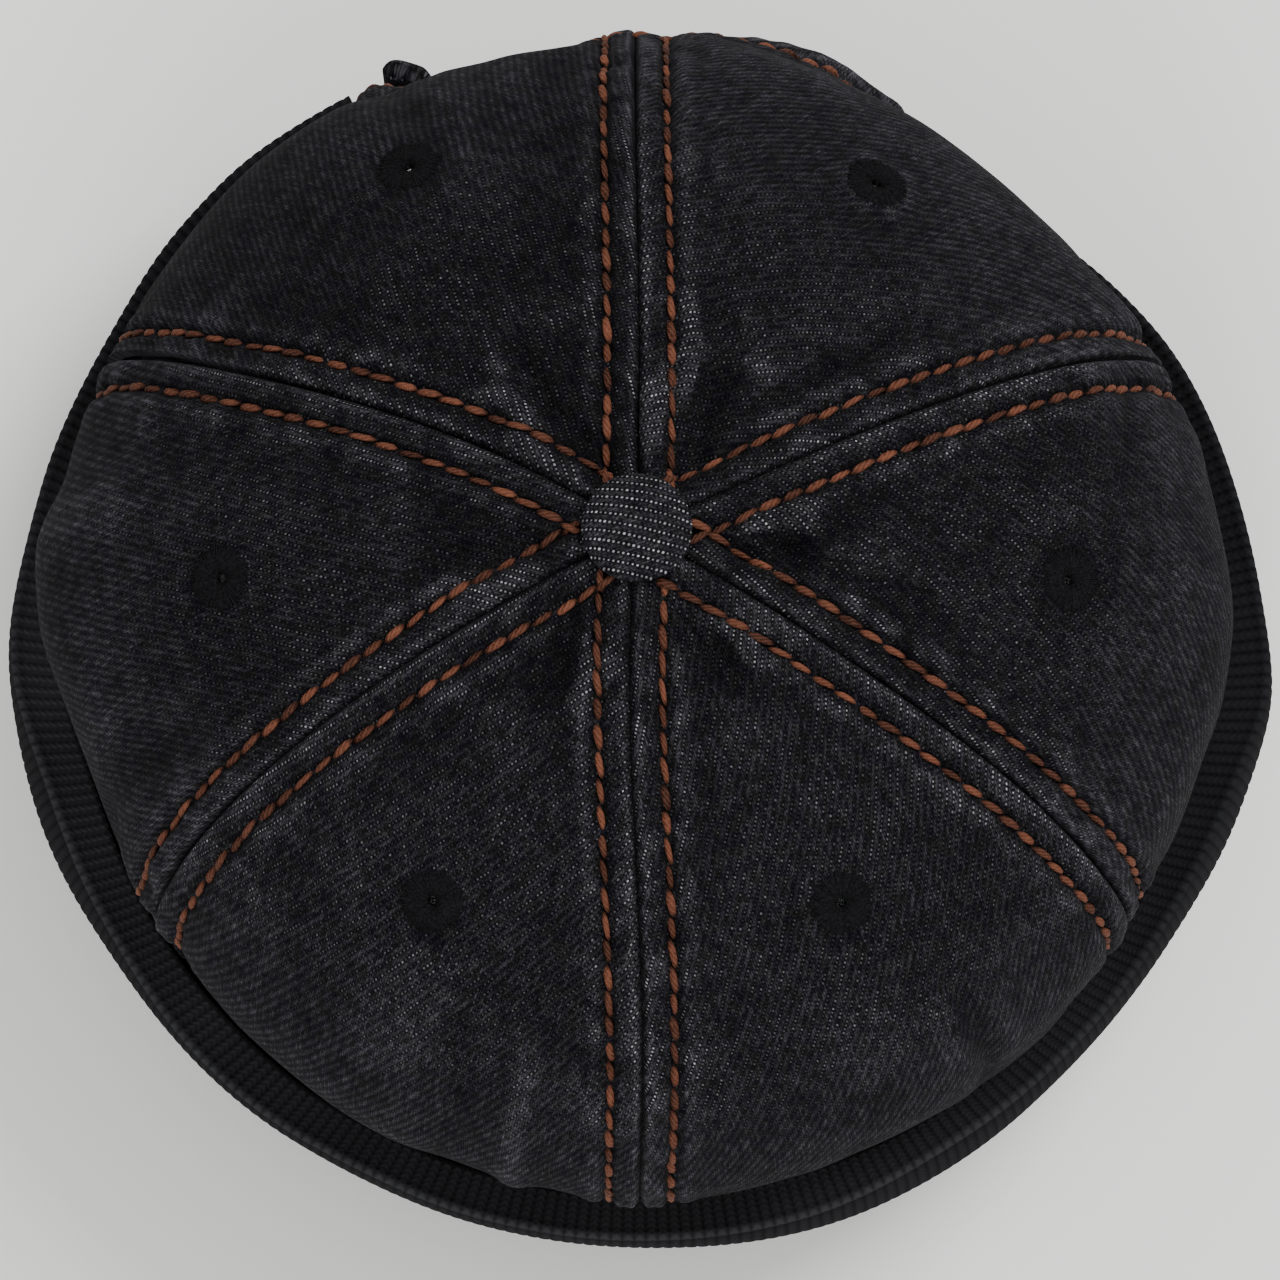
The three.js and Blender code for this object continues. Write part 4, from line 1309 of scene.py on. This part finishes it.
def button_profile():
    """The turned outline, from the dome's top round the edge to the plate's middle: the part
    that is covered, and the bare metal beneath."""
    edge = BUTTON_BASE_Z + BUTTON_EDGE
    a = np.linspace(0.012, math.pi / 2, 44)
    dome = np.stack([BUTTON_RADIUS * np.sin(a), edge + (BUTTON_RISE - BUTTON_EDGE) * np.cos(a)], -1)
    a = np.linspace(0.2, math.pi / 2, 8)
    roll = np.stack([BUTTON_RADIUS - 0.9 * (1 - np.cos(a)), edge - 1.75 * np.sin(a)], -1)
    inside = CROWN_TOP_Z - 2.1
    bare = [
        (6.9, BUTTON_BASE_Z + 0.05),
        (1.4, BUTTON_BASE_Z),
        (1.4, inside),
        (4.8, inside),
        (5.0, inside - 0.2),
        (5.0, inside - 0.6),
        (4.4, inside - 1.0),
        (0.05, inside - 1.0),
    ]
    return np.vstack([dome, roll]), np.array(bare)


def make_button(material):
    shell, under = button_profile()
    profile = np.vstack([shell, under])
    count = 120
    angle = np.linspace(0, 2 * math.pi, count, endpoint=False)[None, :]
    radius = profile[:, :1]
    x = radius * np.cos(angle)
    y = radius * np.sin(angle)
    z = np.broadcast_to(profile[:, 1:], x.shape).copy()
    onto = np.arange(len(profile))[:, None] < len(shell)
    uneven = 0.16 * cloth_noise(31, x / 5, y / 5) + 0.05 * cloth_noise(32, x / 1.6, y / 1.6)
    gather = 0.12 * cloth_noise(33, 3.2 * np.cos(angle) + 0 * radius, 3.2 * np.sin(angle) + 0 * radius)
    edge = smoothstep(6.5, 9, radius)
    z = z + onto * (uneven * (1 - edge) + gather * edge)
    lean_x, lean_y = AXIS[0] + LEAN[0], AXIS[1] + LEAN[1]
    points = np.stack([x + lean_x, y + lean_y, z], -1).reshape(-1, 3)
    mesh = make_mesh("covered_button", points, tube_faces(len(profile), count))
    made = placed("covered_button", mesh)
    bow = 1 + 0.0012 * (x * x + y * y)
    turn = math.radians(BUTTON_GRAIN)
    across = BUTTON_STRETCH * (x * math.cos(turn) - y * math.sin(turn)) * bow
    along = BUTTON_STRETCH * (x * math.sin(turn) + y * math.cos(turn)) * bow
    set_uv(made.data, "grain", np.stack([across + 40, along + 40], -1).reshape(-1, 2))
    set_float(made.data, "wear", 0.72 + 0.2 * uneven)
    for name, value in (("inside", 0), ("rubbed", -0.78), ("washed", 0.16)):
        set_float(made.data, name, np.full(x.size, value))
    made.data.materials.append(material)
    finished(made, "button")


make_button(denim)


# The cuff: a double layer of black one-and-one rib knit in wool and acrylic, sewn to the crown
# inside its foot and turned up. It stands off the crown, its fold is the rim, and it is open
# at the back, on either side of the arch.

CUFF_FROM = 117.5  # azimuths of its two ends, on either side of the opening
CUFF_TO = 422.5
RIM_Z = 46.0
RIM_ROLL = 0.85
SWELL_Z = 37.0
TUCK_Z = 41.5  # where the fold's inner face reaches the crown
RIBS = 275
COURSE_PITCH = 1.25
RIB_COLUMNS = 8
RIB_DEPTH = 0.165
KNIT_FUZZ = 0.67  # size of the yarn's fuzz
KNIT_PATCH = 11.1  # and of the places where it is paler or darker


def cuff_outline(azimuth):
    """The cuff's section at azimuths: up the outer face, over the fold and down inside."""
    belly, hem, rim, swell = (around(column, azimuth) for column in ("belly", "hem", "rim", "swell"))
    wall = belly + (hem - belly) * smoothstep(0, BELLY_Z - WAIST_Z, BELLY_Z - TUCK_Z) + 1.0
    radius, height = [], []

    def stretch(r0, z0, r1, z1, count, sag=0.0):
        for t in np.linspace(0, 1, count, endpoint=False):
            radius.append(r0 + (r1 - r0) * t + sag * math.sin(math.pi * t))
            height.append(z0 + (z1 - z0) * t + 0 * azimuth)

    stretch(hem - 2.2, 0.2, hem + 3.0, 0.0, 3)
    stretch(hem + 3.6, 0.4, hem + 4.5, 1.6, 2)
    stretch(hem + 4.5, 1.6, swell, SWELL_Z, 12, 0.9)
    ridge = RIM_Z - RIM_ROLL
    stretch(swell, SWELL_Z, rim + RIM_ROLL, ridge, 6, 0.35)
    for angle in np.radians(np.arange(0, 130, 16)):
        radius.append(rim + RIM_ROLL * math.cos(angle))
        height.append(ridge + RIM_ROLL * math.sin(angle) + 0 * azimuth)
    stretch(rim - 0.8 * RIM_ROLL, ridge + 0.6 * RIM_ROLL, wall, TUCK_Z, 9, 0.3)
    stretch(wall, TUCK_Z, hem + 0.6, 4.3, 10)
    stretch(hem + 0.6, 4.1, hem - 2.2, 4.1, 3)
    return np.array(radius), np.array(height)


def rib_tree():
    """Raises ribs round a tube from its turn attribute, and gives it the knit's material."""
    tree, given = new_tree("ribbing", {"Ribs": "Float", "Depth": "Float", "Knit": "Material"})
    turn = node(tree, "GeometryNodeInputNamedAttribute", {"Name": "turn"}, data_type="FLOAT")
    phase = node(tree, MATH, (turn, given["Ribs"]), operation="MULTIPLY")
    phase = node(tree, MATH, (phase, math.pi), operation="MULTIPLY")
    wave = node(tree, MATH, (phase,), operation="COSINE")
    wave = node(tree, MATH, (wave,), operation="ABSOLUTE")
    wave = node(tree, MATH, (wave, 0.45), operation="POWER")
    wave = node(tree, MATH, (wave, 0.7), operation="SUBTRACT")
    reach = node(tree, MATH, (wave, given["Depth"]), operation="MULTIPLY")
    normal = node(tree, "GeometryNodeInputNormal")
    offset = node(tree, VECTOR_MATH, {0: normal, "Scale": reach}, operation="SCALE")
    moved = node(tree, "GeometryNodeSetPosition", {"Geometry": given["Geometry"], "Offset": offset})
    real = node(tree, "GeometryNodeRealizeInstances", (moved,))
    clad = node(tree, "GeometryNodeSetMaterial", {"Geometry": real, "Material": given["Knit"]})
    node(tree, "NodeGroupOutput", (clad,))
    return tree


def rib_knit():
    """Black wool and acrylic knit: soft and matt, in columns of V-shaped stitches. Painted shade
    darkens the furrows between the ribs, and painted light makes it paler inside and over the
    fold, most towards the front, where the crown keeps light off it."""
    material, tree, shader = new_material("rib_knit")
    place = node(tree, "ShaderNodeUVMap", uv_map="knit")
    place = node(tree, "ShaderNodeSeparateXYZ", (place,))
    rib = node(tree, MATH, (place.outputs[0], 1 / MM), operation="MULTIPLY")
    course = node(tree, MATH, (place.outputs[1], 1 / (COURSE_PITCH * MM)), operation="MULTIPLY")
    centre = node(tree, MATH, (rib,), operation="FRACT")
    centre = node(tree, MATH, (centre, 0.5), operation="SUBTRACT")
    centre = node(tree, MATH, (centre,), operation="ABSOLUTE")
    leg = node(tree, MATH, (centre, -1.6, course), operation="MULTIPLY_ADD")
    leg = node(tree, MATH, (leg,), operation="FRACT")
    leg = node(tree, MATH, (leg, math.pi), operation="MULTIPLY")
    leg = node(tree, MATH, (leg,), operation="SINE")
    # The crest makes the ribs' tops lighter and the furrows between them darker: painted shade, over the
    # ribs' own relief.
    crest = node(tree, MATH, (centre, math.pi), operation="MULTIPLY")
    crest = node(tree, MATH, (crest,), operation="SINE")
    where = node(tree, "ShaderNodeTexCoord").outputs["Object"]
    fuzz = node(tree, NOISE, {"Vector": where, "Scale": 1 / (KNIT_FUZZ * MM), "Detail": 2.0})
    uneven = node(tree, NOISE, {"Vector": where, "Scale": 1 / (KNIT_PATCH * MM), "Detail": 2.0})
    tone = node(tree, MATH, (leg, 0.1, crest), operation="MULTIPLY_ADD")
    tone = node(tree, MATH, (fuzz, 0.6, tone), operation="MULTIPLY_ADD")
    tone = node(tree, MATH, (uneven, 0.5, tone), operation="MULTIPLY_ADD")
    tone = node(tree, RANGE, (tone, 0.25, 2.1))
    # Painted light: the knit's colours are paler where this attribute is high, inside and over the fold.
    bloom = node(tree, "ShaderNodeAttribute", attribute_name="bloom").outputs["Fac"]
    furrow = {0: bloom, MIX_A: linear("#050506"), MIX_B: linear("#1c1c1e")}
    furrow = node(tree, MIX, furrow, data_type="RGBA").outputs[MIX_RESULT]
    rise = {0: bloom, MIX_A: linear("#1a1a1c"), MIX_B: linear("#454548")}
    rise = node(tree, MIX, rise, data_type="RGBA").outputs[MIX_RESULT]
    colour = node(tree, MIX, {0: tone, MIX_A: furrow, MIX_B: rise}, data_type="RGBA").outputs[MIX_RESULT]
    height = node(tree, MATH, (fuzz, 0.5, leg), operation="MULTIPLY_ADD")
    bump = node(tree, "ShaderNodeBump", {"Strength": 0.5, "Distance": 0.00012, "Height": height})
    values = {"Roughness": 0.95, "Specular IOR Level": 0.006, "Sheen Weight": 0.01, "Sheen Roughness": 0.5}
    set_shader(shader, colour, values, bump)
    return material


# Where the cuff swells out beyond its plan: the azimuth, the degrees either side, and how far.
CUFF_BULGES = [
    (355, 6.5, 1.7),
    (183, 10, 1.25),
]
# The share of the painted light inside and over the fold that the section's points have, from
# the outer face over the fold, by their number up the section.
FOLD_PAINTED_LIGHT = ((23, 25, 31, 34), (0, 0.62, 0.7, 1))


def make_cuff(material):
    columns = RIBS * RIB_COLUMNS + 1
    turn = np.linspace(0, 1, columns)
    azimuth = CUFF_FROM + (CUFF_TO - CUFF_FROM) * turn
    radius, height = cuff_outline(azimuth)
    rows = len(radius)
    sway = smoothstep(8, 44, height)
    for middle, half, out in CUFF_BULGES:
        radius = radius + out * sway * hump(np.mod(azimuth - middle + 180, 360) - 180, 0, half)
    cos, sin = np.cos(np.radians(azimuth)), np.sin(np.radians(azimuth))
    radius = radius + sway * 0.35 * cloth_noise(51, 5 * cos + 9 + 0 * radius, 5 * sin + 9 + 0 * radius)
    height = height + sway * 0.5 * cloth_noise(52, 7 * cos + 9 + 0 * radius, 7 * sin + 9 + 0 * radius)
    points = np.stack([AXIS[0] + radius * cos, AXIS[1] + radius * sin, height], -1)
    column, row = np.mgrid[0 : columns - 1, 0:rows]
    a = row * columns + column
    b = (row + 1) % rows * columns + column
    faces = np.stack([a, a + 1, b + 1, b], -1).reshape(-1, 4).tolist()
    faces.append([r * columns for r in range(rows)])
    faces.append([(rows - 1 - r) * columns + columns - 1 for r in range(rows)])
    made = placed("rib_cuff", make_mesh("rib_cuff", points.reshape(-1, 3), faces, 2))
    steps = np.linalg.norm(np.diff(points, axis=0), axis=2)
    travel = np.vstack([np.zeros(columns), np.cumsum(steps, 0)]).mean(1)
    place = np.stack(np.broadcast_arrays(turn * RIBS + 0.5, travel[:, None]), -1)
    set_uv(made.data, "knit", place.reshape(-1, 2))
    set_float(made.data, "turn", np.broadcast_to(turn, (rows, columns)))
    # Painted light: the knit is made paler inside and over the fold, most towards the front, where the crown
    # keeps light off it, and a little paler down the outer face, though not at its top.
    inner = np.interp(np.arange(rows), *FOLD_PAINTED_LIGHT)[:, None] * smoothstep(34, 40, height)
    front = 0.5 + 0.5 * np.cos(np.radians(azimuth - 240))
    outer = (np.arange(rows) < 24)[:, None] * (1 - smoothstep(RIM_Z - 3, RIM_Z - 0.5, height))
    set_float(made.data, "bloom", inner * (0.26 + 0.74 * smoothstep(0.35, 0.9, front)) + 0.16 * outer)
    applied(made, rib_tree(), {"Ribs": float(RIBS), "Depth": RIB_DEPTH * MM, "Knit": material})
    finished(made, "cuff")


make_cuff(rib_knit())


# The adjusting strap and its fixed tab, across the arch. Each is denim folded into a band and
# stitched along both edges. The strap passes through the slide, and its free end, folded
# twice into a thick tip, stands away to the left.

SLIDE_AZIMUTH = 102.5
SLIDE_RADIUS = 90.4
STRAP_MIDDLE_Z = 27.0
# The route of a band's middle: an azimuth and a radius, or, with "slide", a distance along
# the slide and one outward from it.
STRAP_ROUTE = [
    ("axis", 50, 85.7),
    ("axis", 58, 85.9),
    ("axis", 66, 87.0),
    ("axis", 75, 88.4),
    ("axis", 84, 89.0),
    ("axis", 92, 88.6),
    ("slide", -10, -2.3),
    ("slide", -6.6, -2.2),
    ("slide", -3.9, 0),
    ("slide", -1.2, 2.2),
    ("slide", 2, 3.2),
    ("slide", 5.6, 5.4),
    ("slide", 9.2, 8.3),
    ("slide", 11.8, 10.9),
    ("slide", 14.4, 13.2),
    ("slide", 17.3, 15),
    ("slide", 20.2, 16.1),
]
TAB_ROUTE = [
    ("axis", 124, 87.9),
    ("axis", 118, 87.5),
    ("slide", 15, -2.3),
    ("slide", 9.4, -2.1),
    ("slide", 7.3, -2.1),
    ("slide", 5.9, -1.5),
    ("slide", 5.5, 0),
    ("slide", 5.9, 1.5),
    ("slide", 7.3, 2.1),
    ("slide", 9.4, 2.1),
    ("slide", 13, 2),
]
BAND_ROW = 2.4  # from a band's edge to its stitching


def route_curve(route, step):
    """Points every so far along the smooth curve through the route, and the way it runs."""
    knots = []
    seat = math.radians(SLIDE_AZIMUTH)
    for kind, first, second in route:
        angle = math.radians(first)
        if kind == "axis":
            knots.append((AXIS[0] + second * math.cos(angle), AXIS[1] + second * math.sin(angle)))
        else:
            reach = SLIDE_RADIUS + second
            x = AXIS[0] + reach * math.cos(seat) - first * math.sin(seat)
            y = AXIS[1] + reach * math.sin(seat) + first * math.cos(seat)
            knots.append((x, y))
    knots = np.array(knots)
    ends = np.vstack([2 * knots[0] - knots[1], knots, 2 * knots[-1] - knots[-2]])
    fine = []
    for a, b, c, d in zip(ends[:-3], ends[1:-2], ends[2:-1], ends[3:]):
        times = np.cumsum([0] + [math.sqrt(np.linalg.norm(q - p)) for p, q in ((a, b), (b, c), (c, d))])
        for t in np.linspace(times[1], times[2], 24, endpoint=False):
            ab = a + (b - a) * (t - times[0]) / (times[1] - times[0])
            bc = b + (c - b) * (t - times[1]) / (times[2] - times[1])
            cd = c + (d - c) * (t - times[2]) / (times[3] - times[2])
            abc = ab + (bc - ab) * (t - times[0]) / (times[2] - times[0])
            bcd = bc + (cd - bc) * (t - times[1]) / (times[3] - times[1])
            fine.append(abc + (bcd - abc) * (t - times[1]) / (times[2] - times[1]))
    fine = np.array(fine + [knots[-1]])
    travel = np.concatenate([[0], np.cumsum(np.linalg.norm(np.diff(fine, axis=0), axis=1))])
    stops = np.linspace(0, travel[-1], int(travel[-1] / step) + 1)
    points = np.stack([np.interp(stops, travel, fine[:, i]) for i in (0, 1)], -1)
    return points, unit(np.gradient(points, axis=0)), stops


def make_band(name, node_name, route, width, cloth, tip, material, seed):
    """A flat band of cloth on edge along the route. tip is its free end's thickness."""
    points, way, stops = route_curve(route, 0.4)
    left = stops[-1] - stops
    half = cloth / 2 + (tip - cloth) / 2 * (1 - smoothstep(6, 9, left))
    half = half * np.sqrt(1 - (1 - (left / (tip / 2)).clip(0.01, 1)) ** 2)
    across = np.concatenate([[-1], np.linspace(-1, 1, 41)[1:-1], [1]])
    across = np.sign(across) * (1 - (1 - np.abs(across)) ** 1.3)
    from_edge = (1 - np.abs(across)) * width / 2
    edge = np.sqrt(1 - (1 - (from_edge / 0.8).clip(0, 1)) ** 2)
    relief = -0.22 * hump(from_edge, BAND_ROW, 0.6) + 0.12 * hump(from_edge, BAND_ROW + 1.8, 1.1)
    pucker = cloth_noise(seed, stops[:, None] / 2.1, across[None, :] * 2) * hump(from_edge, BAND_ROW, 2)
    corner = width / 2 * (1 - 0.1 * (1 - smoothstep(0, 3, left)))
    z = STRAP_MIDDLE_Z + corner[:, None] * across[None, :]
    out = np.stack([way[:, 1], -way[:, 0]], -1)
    sheets = []
    for side in (1, -1):
        thick = half[:, None] * edge[None, :] + (relief + 0.1 * pucker) * smoothstep(0, 1, half)[:, None]
        flat = points[:, None, :] + side * out[:, None, :] * thick[..., None]
        sheets.append(np.concatenate([flat, z[..., None]], -1))
    section = np.concatenate([sheets[0][:, :-1], sheets[1][:, :0:-1]], 1)
    rows, count = section.shape[:2]
    made = placed(name, make_mesh(name, section.reshape(-1, 3), tube_faces(rows, count, flip=True)))
    place = np.concatenate([across[:-1], 2 - across[:0:-1]]) * width / 2
    grain = np.stack(np.broadcast_arrays(place[None, :] + 60, stops[:, None] + 30), -1)
    set_uv(made.data, "grain", grain.reshape(-1, 2))
    # Paler at the folded edges, which are worn, and darker at the rows of stitching: partly painted shade
    # where the rows sink into the cloth.
    worn = 0.42 + 0.3 * hump(from_edge, 0, 0.7) - 0.2 * hump(from_edge, BAND_ROW, 0.7)
    worn = np.concatenate([worn[:-1], worn[:0:-1]])
    set_float(made.data, "wear", np.tile(worn, (rows, 1)))
    set_float(made.data, "inside", np.zeros(rows * count))
    set_float(made.data, "rubbed", np.full(rows * count, 0.5))
    made.data.materials.append(material)
    finished(made, node_name)
    rows_of_stitches = []
    keep = left > 12
    for level in (-1, 1):
        z = STRAP_MIDDLE_Z + level * (width / 2 - BAND_ROW)
        flat = points[keep] + out[keep] * (half[keep, None] + 0.2)
        run = np.column_stack([flat, np.full(keep.sum(), z)])[::3]
        rows_of_stitches.append((run, np.column_stack([out[keep], np.zeros(keep.sum())])[::3]))
    sew(name + "_topstitch", rows_of_stitches, seed)


make_band("strap", "strap", STRAP_ROUTE, 20.0, 1.6, 3.8, denim, 81)
make_band("strap_tab", "strap_tab", TAB_ROUTE, 17.0, 1.0, 1.0, denim, 82)
bpy.data.objects.remove(stitch)


# The slide: a stamped steel plate with two windows, tumbled to round its edges and plated in
# dark nickel. The tab is looped round one of its bars, and the strap comes out through the
# window beside it.

SLIDE_EDGE = 0.45
NICKEL_CLOUD = 3.85  # size of the clouds that handling left in the plate,
NICKEL_GRIT = 0.385  # and of the tumbling's marks


def dark_nickel():
    """Dark nickel plate over stamped steel: a soft grey mirror, cloudy where it has been handled."""
    material, tree, shader = new_material("dark_nickel")
    where = node(tree, "ShaderNodeTexCoord").outputs["Object"]
    cloud = node(tree, NOISE, {"Vector": where, "Scale": 1 / (NICKEL_CLOUD * MM), "Detail": 3.0})
    grit = node(tree, NOISE, {"Vector": where, "Scale": 1 / (NICKEL_GRIT * MM), "Detail": 1.0})
    colour = {0: cloud, MIX_A: linear("#4d4a48"), MIX_B: linear("#6e6a66")}
    colour = node(tree, MIX, colour, data_type="RGBA").outputs[MIX_RESULT]
    rough = node(tree, RANGE, {"Value": cloud, "To Min": 0.28, "To Max": 0.48})
    tree.links.new(rough.outputs[0], shader.inputs["Roughness"])
    bump = node(tree, "ShaderNodeBump", {"Strength": 0.2, "Distance": 0.00005, "Height": grit})
    set_shader(shader, colour, {"Metallic": 1.0}, bump)
    return material


def make_slide():
    """The plate from the frame, its faces merged and its edges rounded."""
    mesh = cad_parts["strap_slide"].data.copy()
    mesh.name = "strap_slide_plate"
    shape = bmesh.new()
    shape.from_mesh(mesh)
    bmesh.ops.remove_doubles(shape, verts=shape.verts, dist=1e-6)
    bmesh.ops.dissolve_limit(shape, angle_limit=0.02, verts=shape.verts, edges=shape.edges)
    shape.to_mesh(mesh)
    shape.free()
    mesh.materials.clear()
    mesh.materials.append(dark_nickel())
    made = placed("strap_slide_plate", mesh)
    bevel = made.modifiers.new("rounded_edges", "BEVEL")
    bevel.width = SLIDE_EDGE * MM
    bevel.segments = 3
    bevel.limit_method = "ANGLE"
    made.data = evaluated_mesh(made)
    made.modifiers.clear()
    made.data.shade_smooth()
    made.data.set_sharp_from_angle(angle=math.radians(40))
    finished(made, "strap_slide")


make_slide()
